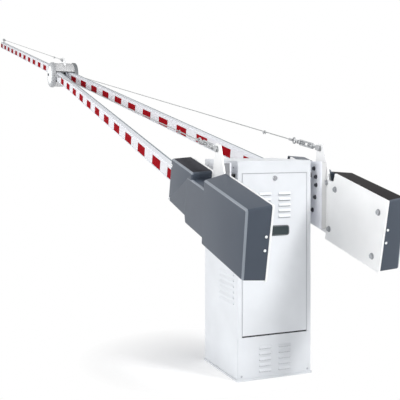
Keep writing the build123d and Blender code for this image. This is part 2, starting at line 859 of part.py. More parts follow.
drum = rod((-hub_u, -drum_half, hub_w), (0, 1, 0), drum_radius, drum_half * 2)
drum -= rod((-hub_u, -drum_half, hub_w), (0, 1, 0), drum_radius - drum_wall, drum_half * 2)
drum -= block((-hub_u, -hub_u + rim_radius), (-rear_slot_half_width, rear_slot_half_width),
              (hub_w - rear_slot_half_height, hub_w + rear_slot_half_height))
drum -= block((-hub_u - rim_radius, -hub_u), (-front_slot_half_width, front_slot_half_width),
              (hub_w - front_slot_half_height, hub_w + front_slot_half_height))
boom["hub_drum"] = drum

rims = Part()
caps = Part()
for side in (-1, 1):
    rim = cross(-hub_u, hub_w, rim_radius, side, drum_half, drum_half + rim_width)
    rim = chamfer(rim.faces().sort_by(Axis.Y)[-1 if side > 0 else 0].edges(), rim_round)
    rim -= cross(-hub_u, hub_w, rim_inner, side, drum_half, drum_half + rim_width)
    rim -= bar_rod((-hub_u - eye_u, side * eye_y, hub_w + eye_w), (-1, 0, 0), eye_shank_radius + running_gap,
                   eye_shank_reach)
    rims += rim
    cap = cross(-hub_u, hub_w, cap_radius, side, drum_half, drum_half + cap_width)
    outer_face = cap.faces().sort_by(Axis.Y)[-1 if side > 0 else 0]
    cap = chamfer(outer_face.edges(), cap_round)
    cap -= prism((-hub_u, side * drum_half, hub_w), (0, side, 0), rim_inner - cap_skin_thick,
                 cap_width - cap_skin_thick, bar_sides)
    caps += cap - stud_hole(0)
boom["hub_rims"] = rims
boom["hub_caps"] = caps

fin_face = Polygon(*[(-hub_u - u, hub_w + w) for u, w in fin_points], align=None)
fin_seat = Plane(origin=(0, fin_half, 0), x_dir=(1, 0, 0), z_dir=(0, -1, 0))
fin = extrude(fin_seat * fin_face, amount=fin_half * 2, dir=(0, -1, 0))
fin -= rod((-hub_u, -drum_half, hub_w), (0, 1, 0), drum_radius, drum_half * 2)
fin_bolt = (-hub_u - fin_bolt_u, 0, hub_w + fin_bolt_w)
fin -= rod((fin_bolt[0], -half_w, fin_bolt[2]), (0, 1, 0), fin_hole_radius, cab_width)
boom["hub_fin"] = fin

# Tip cap
tip = front.bar(front_end, front_end + cap_length, (-tube_width / 2, tube_width / 2),
                (-tube_height / 2, tube_height / 2))
tip = chamfer(tip.faces().sort_by(Axis.X)[0].edges(), cap_round)
tip += front.bar(front_end - cap_plug, front_end, (-tube_width / 2 + cap_skin, tube_width / 2 - cap_skin),
                 (-tube_height / 2 + cap_skin, tube_height / 2 - cap_skin))
boom["tip_cap"] = tip

anchor = front.bar(anchor_u - anchor_base_half_length, anchor_u + anchor_base_half_length,
                   (-anchor_base_half_width, anchor_base_half_width),
                   (tube_height / 2, tube_height / 2 + anchor_base))
anchor += front.bar(anchor_u - anchor_half_length, anchor_u + anchor_half_length, (-anchor_half, anchor_half),
                    (tube_height / 2, tube_height / 2 + anchor_rise + fin_bolt_radius * 2))
anchor_eye = front.seat(anchor_u).origin + Vector(0, 0, tube_height / 2 + anchor_rise)
anchor -= rod((anchor_eye.X, -half_w, anchor_eye.Z), (0, 1, 0), fin_hole_radius, cab_width)
boom["stay_anchor"] = anchor


def eye_ring_at(centre, radius, wire):
    """Forged ring round an axis along Y, as thick as its wire is wide."""
    start = centre - Vector(0, wire, 0)
    ring = bar_rod(start, (0, 1, 0), radius + wire, wire * 2)
    return ring - bar_rod(start, (0, 1, 0), radius - wire, wire * 2)


def saddle(point, direction):
    """Cable clamp of two blocks, one over and one under the stay."""
    seat = Plane(origin=point, x_dir=(0, 1, 0), z_dir=direction)
    halves = Part()
    for s in (-1, 1):
        low, high = sorted((s * stay_radius, s * (stay_radius + clamp_deep)))
        halves += seat * block((-clamp_half, clamp_half), (low, high), (-clamp_half, clamp_half))
    return halves


def fork(tip_point, direction, side_gap, length):
    """Fork end with its pin, closed round a plate that lies in the u, w plane."""
    seat = Plane(origin=tip_point, x_dir=(0, 1, 0), z_dir=direction)
    half = side_gap + fork_gap
    body = Part()
    for s in (-1, 1):
        low, high = sorted((s * half, s * (half + fork_cheek)))
        cheek = Pos(low, -fork_half, 0) * Box(high - low, fork_half * 2, length,
                                              align=(Align.MIN, Align.MIN, Align.MIN))
        body += seat * cheek
        body += bar_rod(tip_point + Vector(0, s * half, 0), (0, s, 0), fork_half, fork_cheek)
    bridge = Pos(-half - fork_cheek, -fork_half, length - fork_cheek) * Box(
        (half + fork_cheek) * 2, fork_half * 2, fork_cheek, align=(Align.MIN, Align.MIN, Align.MIN))
    body += seat * bridge
    reach = half + fork_cheek * 2
    body += bar_rod(tip_point + Vector(0, -reach, 0), (0, 1, 0), fin_bolt_radius, reach * 2)
    return body


# Rear stays, finger tip to drum eye
eyes = Part()
clamps = Part()
for side, name in ((-1, "near"), (1, "far")):
    mid = side * (plate_inner + plate_outer) / 2
    tip_point = Vector(-finger_hole_u, mid, finger_hole_w)
    eye_point = Vector(-hub_u - eye_u, side * eye_y, hub_w + eye_w)
    line = eye_point - tip_point
    e = line.normalized()

    def along(s, origin=tip_point, direction=e):
        return origin + direction * s

    buckle = fork(tip_point, e, (plate_outer - plate_inner) / 2, fork_length)
    buckle += bar_rod(along(rod_start), e, rod_radius, body_start - rod_start)
    across = e.cross(Vector(0, 1, 0)).normalized()
    for s in (body_start, body_end - body_boss):
        buckle += hex_rod(along(s), e, body_boss_radius, body_boss)
    for sign in (-1, 1):
        buckle += hex_rod(along(body_start) + across * (sign * body_bar_offset), e, body_bar_radius,
                          body_end - body_start)
    buckle += bar_rod(along(body_end), e, rod_radius, rod_end - body_end)
    buckle += hex_rod(along(nut_start), e, nut_radius, nut_length)
    buckle += eye_ring_at(along(ring_centre), ring_radius, ring_wire)
    buckle += bar_rod(along(ring_centre + ring_radius - ring_wire / 2), e, sleeve_radius,
                      stay_start + sleeve_length - ring_centre - ring_radius + ring_wire / 2)
    boom[name + "_turnbuckle"] = buckle
    eye = eye_ring_at(eye_point, eye_ring, eye_wire)
    eye += bar_rod(eye_point + Vector(-eye_ring + eye_wire / 2, 0, 0), (-1, 0, 0), eye_shank_radius,
                   eye_shank_reach - eye_ring)
    last = line.length - eye_ring + eye_wire / 2
    eye += bar_rod(along(last - sleeve_length), e, sleeve_radius, sleeve_length)
    eyes += eye
    boom[name + "_stay"] = rod(along(stay_start + sleeve_length), e, stay_radius,
                               last - sleeve_length - stay_start - sleeve_length)
    for s in (stay_start + clamp_first, last - clamp_last):
        clamps += saddle(along(s), e)

# Front stay, fin to boom top
fin_point = Vector(*fin_bolt)
line = anchor_eye - fin_point
e = line.normalized()
front_fork = fork(fin_point, e, fin_half, fin_fork_length)
front_fork += bar_rod(fin_point + e * (fin_fork_length - fork_cheek), e, sleeve_radius, front_fork_end)
tip_fork = fork(anchor_eye, -e, anchor_half, fork_length)
tip_fork += bar_rod(anchor_eye - e * (fork_length - fork_cheek), -e, sleeve_radius, front_fork_end)
boom["front_stay_forks"] = front_fork + tip_fork
stay_from = fin_fork_length - fork_cheek + front_fork_end
stay_to = line.length - fork_length + fork_cheek - front_fork_end
boom["front_stay"] = rod(fin_point + e * stay_from, e, stay_radius, stay_to - stay_from)
for s in (clamp_first + clamp_last, line.length - clamp_last):
    clamps += saddle(fin_point + e * s, e)
boom["hub_eyes"] = eyes
boom["cable_clamps"] = clamps


def cover_form(side, levels):
    """Cover as a solid: sections in step with its outline, each at a depth and with a growth."""
    sharp = outline(cover_points)
    sections = []
    for depth, growth in levels:
        face = offset(sharp, amount=growth, kind=Kind.INTERSECTION) if growth else sharp
        face = chamfer(face.vertices(), cover_corner)
        seat = Plane(origin=(0, side * (plate_outer + depth), 0), x_dir=(1, 0, 0), z_dir=(0, -1, 0))
        sections.append((seat * face).face())
    return loft(sections, ruled=True)


# The two sides of the rear assembly
retainers = Part()
plate_bolts = Part()
hub_bolts = Part()
for side, name in ((-1, "near"), (1, "far")):
    arm = arms[name]
    plate = upright(plate_outline(plate_points), side, plate_inner, plate_outer)
    plate -= cross(0, 0, shaft_radius + shaft_hole_gap, side, 0, cab_width)
    plate -= cross(-finger_hole_u, finger_hole_w, finger_hole_radius, side, 0, cab_width)
    boom[name + "_arm_plate"] = plate

    bracket = upright(plate_outline(bracket_points), side, bracket_inner, bracket_inner + bracket_thick)
    bracket += cross(0, 0, hub_boss_radius, side, hub_boss_start, plate_inner)
    for u, w in hub_bolt_points:
        bracket += hex_cross(-u, w, post_radius, side, post_start, plate_inner)
        hub_bolts += hex_cross(-u, w, hub_bolt_radius, side, bracket_inner - hub_bolt_head, bracket_inner)
    bracket -= cross(0, 0, shaft_radius + shaft_hole_gap, side, 0, cab_width)
    boom[name + "_hub_bracket"] = bracket
    retainers += cross(0, 0, washer_radius, side, shaft_half_length, shaft_half_length + washer_thick)
    retainers += hex_cross(0, 0, end_bolt_radius, side, shaft_half_length + washer_thick,
                           shaft_half_length + washer_thick + end_bolt_head)

    # Counterweight pack with its corner bolts
    pack = Part()
    for k in range(weight_count):
        trim = weight_step * (k % 2)
        low = plate_outer + weight_plate * k
        pack += block((-weight_front + trim, -weight_rear - trim), span(side, low, low + weight_plate),
                      (weight_low + trim, weight_high - trim))
    pack_top = plate_outer + weight_plate * weight_count
    boom[name + "_counterweight"] = pack
    for u, w in weight_bolt_points:
        plate_bolts += hex_cross(-u, w, bolt_head_radius, side, pack_top, pack_top + bolt_head_reach)
        plate_bolts += hex_cross(-u, w, bolt_head_radius, side, plate_inner - bolt_head_reach, plate_inner)
    plate_bolts += hex_cross(-spare_bolt_u, spare_bolt_w, bolt_head_radius, side,
                             plate_inner - bolt_head_reach,
                             plate_inner)

    # Socket that wraps the arm's root
    socket_outer = plate_outer + socket_width
    socket = block((-socket_end, -socket_start), span(side, plate_outer, socket_outer),
                   (-socket_half_height, socket_half_height))
    socket -= arm.bar(0, socket_end * 2, (-tube_width / 2, tube_width / 2),
                      (-tube_height / 2, tube_height / 2))
    for sx in (-1, 1):
        low, high = sorted((sx * tube_width / 2, sx * (tube_width / 2 + rail_reach)))
        socket -= arm.bar(0, socket_end * 2, (low, high), (-tube_height / 2, tube_height / 2))
    for u in socket_bolt_points:
        socket += hex_cross(-u, 0, bolt_head_radius, side, socket_outer, socket_outer + bolt_head_reach)
    boom[name + "_socket"] = socket

    tube = arm.tube(arm_start, arm_end)
    for u in (0, cross_bolt_back):
        tube -= stud_hole(u)
    boom[name + "_rear_tube"] = tube
    boom[name + "_strip"] = arm.strips(strip_start, arm_end - strip_margin * 3)

    # Stepped cover: a drafted shell closed on its outer face
    cover = cover_form(side, [(0, cover_draft), (cover_depth - cover_edge, 0), (cover_depth, -cover_edge)])
    cover -= cover_form(side, [(0, cover_draft - cover_skin), (cover_depth - cover_skin, -cover_skin)])
    opening_bar = arm.bar(socket_start, socket_end * 2,
                          (-tube_width / 2 - exit_clear, tube_width / 2 + exit_clear),
                          (-tube_height / 2 - exit_clear, tube_height / 2 + exit_clear))
    cover -= opening_bar & block((-socket_end * 2, -socket_end), span(side, 0, cab_width * 2),
                                 (-cab_width, cab_width))
    boom[name + "_cover"] = cover
boom["hub_bolts"] = hub_bolts
boom["shaft_retainers"] = retainers
boom["plate_bolts"] = plate_bolts

seat = Pos(0, 0, pivot_height) * Rot(0, rest_angle, 0)
for name, shape in boom.items():
    parts[name] = seat * shape

for name, shape in parts.items():
    export_step(shape, "parts/" + name + ".step")
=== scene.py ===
import math

import bmesh
import bpy
from mathutils import Matrix, Vector


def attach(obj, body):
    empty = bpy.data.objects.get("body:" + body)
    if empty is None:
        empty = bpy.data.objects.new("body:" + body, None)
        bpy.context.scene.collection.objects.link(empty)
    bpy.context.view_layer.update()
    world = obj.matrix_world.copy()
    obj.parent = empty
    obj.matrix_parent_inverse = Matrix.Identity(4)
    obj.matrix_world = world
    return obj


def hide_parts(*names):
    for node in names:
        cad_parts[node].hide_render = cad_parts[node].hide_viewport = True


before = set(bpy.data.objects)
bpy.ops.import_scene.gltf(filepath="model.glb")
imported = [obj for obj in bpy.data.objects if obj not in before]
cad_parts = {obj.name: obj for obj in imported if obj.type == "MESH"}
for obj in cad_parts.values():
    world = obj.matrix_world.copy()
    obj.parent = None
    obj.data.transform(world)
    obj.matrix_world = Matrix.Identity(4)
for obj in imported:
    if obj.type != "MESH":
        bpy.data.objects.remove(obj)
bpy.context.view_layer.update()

# Camera, fitted to the photograph: level, looking at the door's face from the near side
camera_place = (3.464, -1.730, 1.139)
camera_turn = math.radians(67.57)
camera_lens = 70.6
camera_sensor = 36.0
camera_shift = -0.1638
camera_reach = 100.0

# Sizes shared with the solid model, in metres
front_face = 0.195
cabinet_side = 0.193
pivot_height = 0.861
worm_height = 0.776
motor_height = 0.516
rest_angle = math.radians(12.4)
plate_inner = 0.269
plate_outer = 0.277
bracket_inner = 0.235
pack_top = 0.364
arm_offset = 0.3116
arm_meet = 0.0552
hub_u = 4.420
toe_in = math.atan((arm_offset - arm_meet) / hub_u)
arm_droop = math.radians(1.0)
front_droop = math.radians(2.2)
hub_w = -math.tan(arm_droop) * hub_u
tube_width = 0.045
tube_height = 0.080
strip_thick = 0.0008
weight_bolt_points = [(-0.279, 0.080), (-0.267, -0.119), (-0.632, 0.080), (-0.627, -0.121)]
spare_bolt = (-0.198, 0.092)
hub_bolt_points = [(-0.128, 0.144), (-0.155, 0.109), (-0.165, 0.071), (-0.168, 0.011), (-0.158, -0.056),
                   (0.095, 0.048), (0.095, -0.048)]

# Stays: eyes, fittings and the strand of the wires
stay_radius = 0.003
strand_step = 0.006
strand_lay = 0.055
strands = 6
strand_valley = 0.78
finger_hole = (-0.103, 0.238)
eye_place = (hub_u - 0.188, 0.107, hub_w + 0.022)
eye_ring, eye_wire = 0.016, 0.005
fin_eye_rise, fin_eye_ahead = 0.148, 0.012
anchor_along, anchor_rise = 4.0, 0.044
fork_cheek, fork_half, fork_round = 0.005, 0.0125, 0.0145
pin_head, pin_head_high, pin_stand = 0.0115, 0.004, 0.005
pin_radius, pin_past = 0.0083, 0.004
pin_clip, pin_clip_high = 0.0112, 0.0022
finger_gap, anchor_gap = 0.0058, 0.0068
short_fork, long_fork = 0.034, 0.086
sleeve_length, long_sleeve = 0.034, 0.040
sleeve_radius = 0.0065
loop_wire = 0.0024
shank, nut = 0.006, 0.011
turnbuckle_end = 0.262
tip_clamp, fin_clamp, end_clamp = 0.562, 0.428, 0.128

# Covers: each block is its depth, the outline of its face and that of its root
cover_skin = 0.004
cover_edge = 0.009
front_depth = 0.1015
cover_blocks = {
    "rear": (0.103,
             [(-0.214, 0.124), (-0.660, 0.124), (-0.682, -0.166), (-0.246, -0.166)],
             [(-0.210, 0.152), (-0.684, 0.146), (-0.686, -0.172), (-0.240, -0.172)]),
    "middle": (0.1028,
               [(-0.014, 0.084), (-0.300, 0.084), (-0.300, -0.138), (-0.032, -0.138), (-0.016, -0.107)],
               [(-0.010, 0.090), (-0.306, 0.090), (-0.306, -0.144), (-0.026, -0.144), (-0.010, -0.113)]),
    "front": (front_depth,
              [(0.212, -0.099), (0.212, 0.117), (-0.066, 0.117), (-0.066, -0.109)],
              [(0.216, -0.105), (0.216, 0.124), (-0.070, 0.124), (-0.070, -0.115)]),
}
far_crown = [(-0.240, 0.151), (-0.660, 0.152)]
flat_face_area = 0.002
# Tilt and rear-end reach of the rim faces that get the painted highlight
highlight_tilt, highlight_end_x = 0.15, 0.5
# Masks of the tops painted darker as shade, on the far and the near cover
far_top_tilt, far_top_x = 0.95, 0.2
near_top_tilt, near_top_x = 0.6, 0.075
exit_range = (0.160, 0.260)
exit_clear = 0.005
front_screw_u, front_screw_rows = 0.200, (0.083, -0.088)
rear_screw_u, rear_screw_rows = -0.6838, (0.016, -0.042)

# Films and louvres
band_low, band_high = -0.032, 0.021
band_length, band_thick = 0.162, 0.0004
louvre_length, louvre_height, louvre_pitch = 0.062, 0.012, 0.0267
louvre_centre = 0.051
# Height and rounding of the dark strips under the louvre lips, painted shadow
louvre_shadow_height, shadow_strip_edge = 0.0026, 0.0002

both_sides = ((-1, "near"), (1, "far"))
smooth_limit = math.radians(35)
boom_matrix = Matrix.Translation((0, 0, pivot_height)) @ Matrix.Rotation(rest_angle, 4, "Y")
along_x, along_y, along_z = Vector((1, 0, 0)), Vector((0, 1, 0)), Vector((0, 0, 1))


def boom_at(u, y, w):
    """Point in the boom's frame: u forward along the plates, w up, origin on the shaft's axis."""
    return Vector((-u, y, w))


# Materials
cloud_scale, cloud_detail, cloud_shade = 6.0, 4.0, 0.05
cloud_range = (0.3, 0.7)
bump_strength = 0.5
dust_height = 0.12


def shader(name):
    made = bpy.data.materials.new(name)
    made.use_nodes = True
    tree = made.node_tree
    return made, tree, tree.nodes["Principled BSDF"]


def texture(tree, kind, scale, stretch=(1, 1, 1)):
    place = tree.nodes.new("ShaderNodeTexCoord")
    turn = tree.nodes.new("ShaderNodeMapping")
    turn.inputs["Scale"].default_value = stretch
    made = tree.nodes.new(kind)
    made.inputs["Scale"].default_value = scale
    tree.links.new(place.outputs["Object"], turn.inputs["Vector"])
    tree.links.new(turn.outputs["Vector"], made.inputs["Vector"])
    return made


def ranged(tree, value, low, high, start=0.0, end=1.0):
    made = tree.nodes.new("ShaderNodeMapRange")
    made.inputs["From Min"].default_value = start
    made.inputs["From Max"].default_value = end
    made.inputs["To Min"].default_value = low
    made.inputs["To Max"].default_value = high
    tree.links.new(value, made.inputs["Value"])
    return made.outputs["Result"]


def scaled(tree, colour, value):
    made = tree.nodes.new("ShaderNodeVectorMath")
    made.operation = "SCALE"
    tree.links.new(colour, made.inputs[0])
    tree.links.new(value, made.inputs["Scale"])
    return made.outputs["Vector"]


def surface(name, colour, rough, metal=0.0, grain=900.0, depth=0.0001, stretch=(1, 1, 1), swing=0.08,
            cells=0.0, cell_low=0.85, dusty=0.0, gloss=0.5):
    """Finish with clouded colour, uneven roughness and fine grain.

    Cells add a spangle of small patches, and dusty dulls the colour near the ground.
    """
    made, tree, bsdf = shader(name)
    clouds = texture(tree, "ShaderNodeTexNoise", cloud_scale, stretch)
    clouds.inputs["Detail"].default_value = cloud_detail
    ramp = tree.nodes.new("ShaderNodeValToRGB")
    dark, light = ramp.color_ramp.elements
    dark.position, light.position = cloud_range
    dark.color = [c * (1 - cloud_shade) for c in colour] + [1]
    light.color = [min(1, c * (1 + cloud_shade / 2)) for c in colour] + [1]
    tree.links.new(clouds.outputs["Fac"], ramp.inputs["Fac"])
    shown = ramp.outputs["Color"]
    if cells:
        cell = texture(tree, "ShaderNodeTexVoronoi", cells)
        shown = scaled(tree, shown, ranged(tree, cell.outputs["Color"], cell_low, 1.0))
    if dusty:
        place = tree.nodes.new("ShaderNodeTexCoord")
        split = tree.nodes.new("ShaderNodeSeparateXYZ")
        tree.links.new(place.outputs["Object"], split.inputs["Vector"])
        shown = scaled(tree, shown, ranged(tree, split.outputs["Z"], 1 - dusty, 1.0, 0.0, dust_height))
    tree.links.new(shown, bsdf.inputs["Base Color"])
    fine = texture(tree, "ShaderNodeTexNoise", grain, stretch)
    dull = ranged(tree, fine.outputs["Fac"], max(0.02, rough - swing), min(1, rough + swing))
    tree.links.new(dull, bsdf.inputs["Roughness"])
    bump = tree.nodes.new("ShaderNodeBump")
    bump.inputs["Strength"].default_value = bump_strength
    bump.inputs["Distance"].default_value = depth
    tree.links.new(fine.outputs["Fac"], bump.inputs["Height"])
    tree.links.new(bump.outputs["Normal"], bsdf.inputs["Normal"])
    bsdf.inputs["Metallic"].default_value = metal
    bsdf.inputs["Specular IOR Level"].default_value = gloss
    return made


drawn = (0.03, 1, 1)
turned = (1, 0.1, 1)
film_grain = {"grain": 80.0, "depth": 0.00002}
hub_grain = {"grain": 120.0, "depth": 0.00003}
soft_hub_grain = {**hub_grain, "swing": 0.04}
cover_grain = 1400.0
finishes = {
    "cabinet": surface("powder_white", (0.78, 0.80, 0.825), 0.42, dusty=0.08, gloss=0.25),
    "plate": surface("plate_white", (0.95, 0.95, 0.945), 0.38),
    "cover": surface("cover_slate", (0.062, 0.077, 0.102), 0.42, grain=cover_grain, depth=0.00005, swing=0.05,
                     gloss=0.30),
    # Darker, dull finishes for the covers' tops: painted shade
    "cover_crown_painted_shade": surface("cover_crown_painted_shade", (0.031, 0.029, 0.030), 0.7, grain=cover_grain, gloss=0.05),
    "cover_top_painted_shade": surface("cover_top_painted_shade", (0.050, 0.050, 0.058), 0.7, grain=cover_grain, gloss=0.05),
    # Lighter rim finish for the covers: a painted highlight
    "cover_painted_highlight": surface("cover_painted_highlight", (0.24, 0.27, 0.31), 0.35, grain=cover_grain, gloss=0.6),
    "bracket": surface("bracket_grey", (0.90, 0.91, 0.96), 0.45),
    "far_spacer": surface("spacer_pale", (0.74, 0.74, 0.735), 0.45),
    # The near spacer's dark grey is painted shade
    "near_spacer": surface("spacer_painted_shade", (0.27, 0.275, 0.29), 0.5),
    "tube": surface("tube_white", (0.82, 0.84, 0.88), 0.4, stretch=drawn, gloss=0.3, **film_grain),
    "lip": surface("lip_grey", (0.24, 0.28, 0.30), 0.45, stretch=drawn, grain=500.0, gloss=0.3),
    "white_film": surface("film_white", (0.80, 0.80, 0.83), 0.5, cells=120.0, cell_low=0.96, gloss=0.2,
                          **film_grain),
    "red_film": surface("film_red", (0.33, 0.004, 0.010), 0.7, cells=120.0, cell_low=0.9, gloss=0.02,
                        **film_grain),
    "drum": surface("drum_grey", (0.70, 0.70, 0.70), 0.5, **soft_hub_grain),
    "rim": surface("rim_grey", (0.46, 0.47, 0.48), 0.5, **soft_hub_grain),
    # Darker copy of the rim grey for the far side: painted shade
    "far_rim_painted_shade": surface("rim_dark", (0.20, 0.21, 0.22), 0.5, **soft_hub_grain),
    "cap": surface("cap_white", (0.96, 0.98, 0.98), 0.4, **hub_grain),
    "tip": surface("tip_dark", (0.10, 0.11, 0.12), 0.5),
    "steel": surface("zinc_steel", (0.50, 0.51, 0.53), 0.35, metal=0.9, cells=700.0),
    "fitting": surface("galvanised_fitting", (0.46, 0.47, 0.48), 0.42, metal=0.4, cells=500.0),
    "dark_steel": surface("dark_steel", (0.07, 0.072, 0.085), 0.42, metal=0.5),
    "wire": surface("stay_wire", (0.40, 0.41, 0.41), 0.5, metal=0.3, grain=1500.0, gloss=0.3),
    "frame": surface("frame_grey", (0.10, 0.11, 0.12), 0.5),
    "iron": surface("gear_iron", (0.07, 0.10, 0.14), 0.5, grain=500.0, depth=0.0006),
    "motor": surface("motor_grey", (0.12, 0.14, 0.16), 0.45, grain=500.0, depth=0.0005),
    "black": surface("moulded_black", (0.018, 0.018, 0.02), 0.45),
    "seal": surface("seal_grey", (0.50, 0.51, 0.54), 0.7),
    "rubber": surface("rubber_black", (0.02, 0.02, 0.02), 0.7),
    "control": surface("control_grey", (0.40, 0.41, 0.40), 0.5),
    "badge": surface("badge_dark", (0.022, 0.036, 0.040), 0.35),
    "chrome": surface("lock_chrome", (0.42, 0.43, 0.45), 0.25, metal=1.0),
    "shaft": surface("shaft_steel", (0.36, 0.37, 0.38), 0.3, metal=1.0, stretch=turned),
    "weight": surface("weight_iron", (0.05, 0.052, 0.055), 0.6, metal=0.3, grain=300.0, depth=0.0008),
    "aluminium": surface("aluminium", (0.45, 0.46, 0.48), 0.4, metal=0.9),
}

node_finish = {
    "cabinet": ["cabinet_shell", "lower_panel", "roof_hood", "door_panel", "base_plate"],
    "frame": ["drive_frame"],
    "iron": ["gearbox_housing", "shaft_bearings", "worm_pulley", "motor_pulley"],
    "motor": ["motor_body"],
    "black": ["terminal_box", "limit_switches", "side_stops"],
    "rubber": ["drive_belt"],
    "control": ["control_box"],
    "steel": ["plate_bolts", "hinge_pins", "shaft_retainers", "hub_studs"],
    "dark_steel": ["hub_bolts"],
    "badge": ["blank_badge"],
    "chrome": ["lock_bezel", "lock_barrel"],
    "shaft": ["output_shaft"],
    "plate": ["near_arm_plate", "far_arm_plate", "hub_fin"],
    "bracket": ["near_hub_bracket", "far_hub_bracket"],
    "cover": ["near_cover", "far_cover"],
    "weight": ["near_counterweight", "far_counterweight"],
    "aluminium": ["near_socket", "far_socket", "clamp_cheeks", "stay_anchor"],
    "drum": ["hub_drum"],
    "tube": ["near_rear_tube", "far_rear_tube", "front_tube"],
    "white_film": ["near_strip", "far_strip", "front_strip"],
    "rim": ["hub_rims"],
    "tip": ["tip_cap"],
    "cap": ["hub_caps"],
    "fitting": ["near_turnbuckle", "far_turnbuckle", "hub_eyes", "cable_clamps", "front_stay_forks"],
    "wire": ["near_stay", "far_stay", "front_stay"],
}
for finish, nodes in node_finish.items():
    for node in nodes:
        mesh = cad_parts[node].data
        mesh.materials.clear()
        mesh.materials.append(finishes[finish])


# Mesh tools
def as_mesh(name, bm, *slots):
    """Turns a bmesh, which is used up, into a mesh with the finishes named."""
    mesh = bpy.data.meshes.new(name)
    bm.to_mesh(mesh)
    bm.free()
    for slot in slots:
        mesh.materials.append(finishes[slot])
    return mesh


def placed(name, data):
    """Adds an object to the scene."""
    made = bpy.data.objects.new(name, data)
    bpy.context.scene.collection.objects.link(made)
    return made


def keep(name, bm, finish, body, *nodes):
    """Turns a bmesh into a piece that rides on a body and stands for the nodes named."""
    bmesh.ops.recalc_face_normals(bm, faces=bm.faces)
    if body == "boom":
        bm.transform(boom_matrix)
    mesh = as_mesh(name, bm, finish)
    for face in mesh.polygons:
        face.use_smooth = True
    mesh.set_sharp_from_angle(angle=smooth_limit)
    piece = placed(name, mesh)
    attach(piece, body)
    if nodes:
        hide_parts(*nodes)
    return piece


def combine(piece, tool, operation):
    """Joins or cuts a piece with a tool, which is used up."""
    step = piece.modifiers.new("step", "BOOLEAN")
    step.operation = operation
    step.solver = "EXACT"
    step.object = tool
    shape = piece.evaluated_get(bpy.context.evaluated_depsgraph_get())
    piece.data = bpy.data.meshes.new_from_object(shape)
    piece.modifiers.clear()
    bpy.data.objects.remove(tool)


def carve(piece, boxes):
    """Cuts boxes out of a piece; each box is three ranges and a turn in the boom's frame."""
    for ranges, turn in boxes:
        bm = bmesh.new()
        box(bm, *ranges)
        bmesh.ops.recalc_face_normals(bm, faces=bm.faces)
        bm.transform(boom_matrix @ turn)
        combine(piece, placed("cutter", as_mesh("cutter", bm)), "DIFFERENCE")


def basis(axis):
    """Two directions square to an axis."""
    axis = axis.normalized()
    side = axis.cross(along_z)
    side = along_y if side.length < 0.1 else side.normalized()
    return axis, side, axis.cross(side)


def join_rings(bm, rings, closed=False):
    pairs = list(zip(rings, rings[1:])) + ([(rings[-1], rings[0])] if closed else [])
    for low, high in pairs:
        count = max(len(low), len(high))
        for k in range(count):
            n = (k + 1) % count
            corners = [low[k % len(low)], low[n % len(low)], high[n % len(high)], high[k % len(high)]]
            bm.faces.new(list(dict.fromkeys(corners)))


def lathe(bm, start, axis, profile, turns=32, closed=False):
    """Revolves points, each a distance along the axis and a radius."""
    axis, a, b = basis(axis)
    rings = []
    for along, radius in profile:
        centre = start + axis * along
        if radius == 0:
            rings.append([bm.verts.new(centre)])
            continue
        angles = [math.tau * k / turns for k in range(turns)]
        rings.append([bm.verts.new(centre + (a * math.cos(t) + b * math.sin(t)) * radius) for t in angles])
    join_rings(bm, rings, closed)


def rod(bm, start, axis, radius, length, turns=24, edge=0.0006):
    lathe(bm, start, axis, [(0, 0), (0, radius - edge), (edge, radius), (length - edge, radius),
                            (length, radius - edge), (length, 0)], turns)


hexagon_edge, hexagon_flat, hexagon_top = 0.12, 0.92, 0.88
washer_share, washer_spread, washer_edge = 0.18, 1.3, 0.3
screw_profile = [(0, 0), (0, 1), (0.45, 0.97), (0.85, 0.75), (1, 0.5), (1, 0.42), (0.3, 0.38), (0.3, 0)]
thread_pitch = 0.002
thread_start, thread_root, thread_end = 0.85, 0.86, 0.8


def hexagon(bm, start, axis, radius, length):
    edge = length * hexagon_edge
    lathe(bm, start, axis, [(0, 0), (0, radius * hexagon_flat), (edge, radius), (length - edge, radius),
                            (length, radius * hexagon_top), (length, 0)], 6)


def bolt(bm, start, axis, radius, length):
    """Hex head on a washer, seated at a point."""
    washer = length * washer_share
    rod(bm, start, axis, radius * washer_spread, washer, 28, washer * washer_edge)
    hexagon(bm, start + axis.normalized() * washer, axis, radius, length - washer)


def screw(bm, start, axis, radius):
    """Low domed head with a round recess."""
    high = radius * 0.5
    lathe(bm, start, axis, [(high * rise, radius * share) for rise, share in screw_profile], 24)


def thread(bm, start, axis, radius, length):
    """Rod with ridges."""
    root = radius * thread_root
    profile = [(0, 0), (0, radius * thread_start)]
    for k in range(int(length / thread_pitch)):
        profile += [(thread_pitch * (k + rise), reach)
                    for rise, reach in ((0.3, radius), (0.6, radius), (0.95, root))]
    profile += [(length, radius * thread_end), (length, 0)]
    lathe(bm, start, axis, profile, 14)


def sweep(bm, points, radius, sides=10, closed=False):
    """Round bar along points that lie in one plane or on one line."""
    count = len(points)
    rings = []
    normal = None
    for k, point in enumerate(points):
        before = points[k - 1] if closed or k else points[0]
        after = points[(k + 1) % count] if closed or k < count - 1 else points[-1]
        tangent = (after - before).normalized()
        if normal is None:
            normal = basis(tangent)[1]
        normal = (normal - tangent * normal.dot(tangent)).normalized()
        other = tangent.cross(normal)
        angles = [math.tau * j / sides for j in range(sides)]
        rings.append([bm.verts.new(point + (normal * math.cos(t) + other * math.sin(t)) * radius)
                      for t in angles])
    join_rings(bm, rings, closed)
    if not closed:
        bm.faces.new(rings[0])
        bm.faces.new(rings[-1])


def torus(bm, centre, axis, radius, wire, steps=32, sides=12):
    axis, a, b = basis(axis)
    angles = [math.tau * k / steps for k in range(steps)]
    sweep(bm, [centre + (a * math.cos(t) + b * math.sin(t)) * radius for t in angles], wire, sides, True)


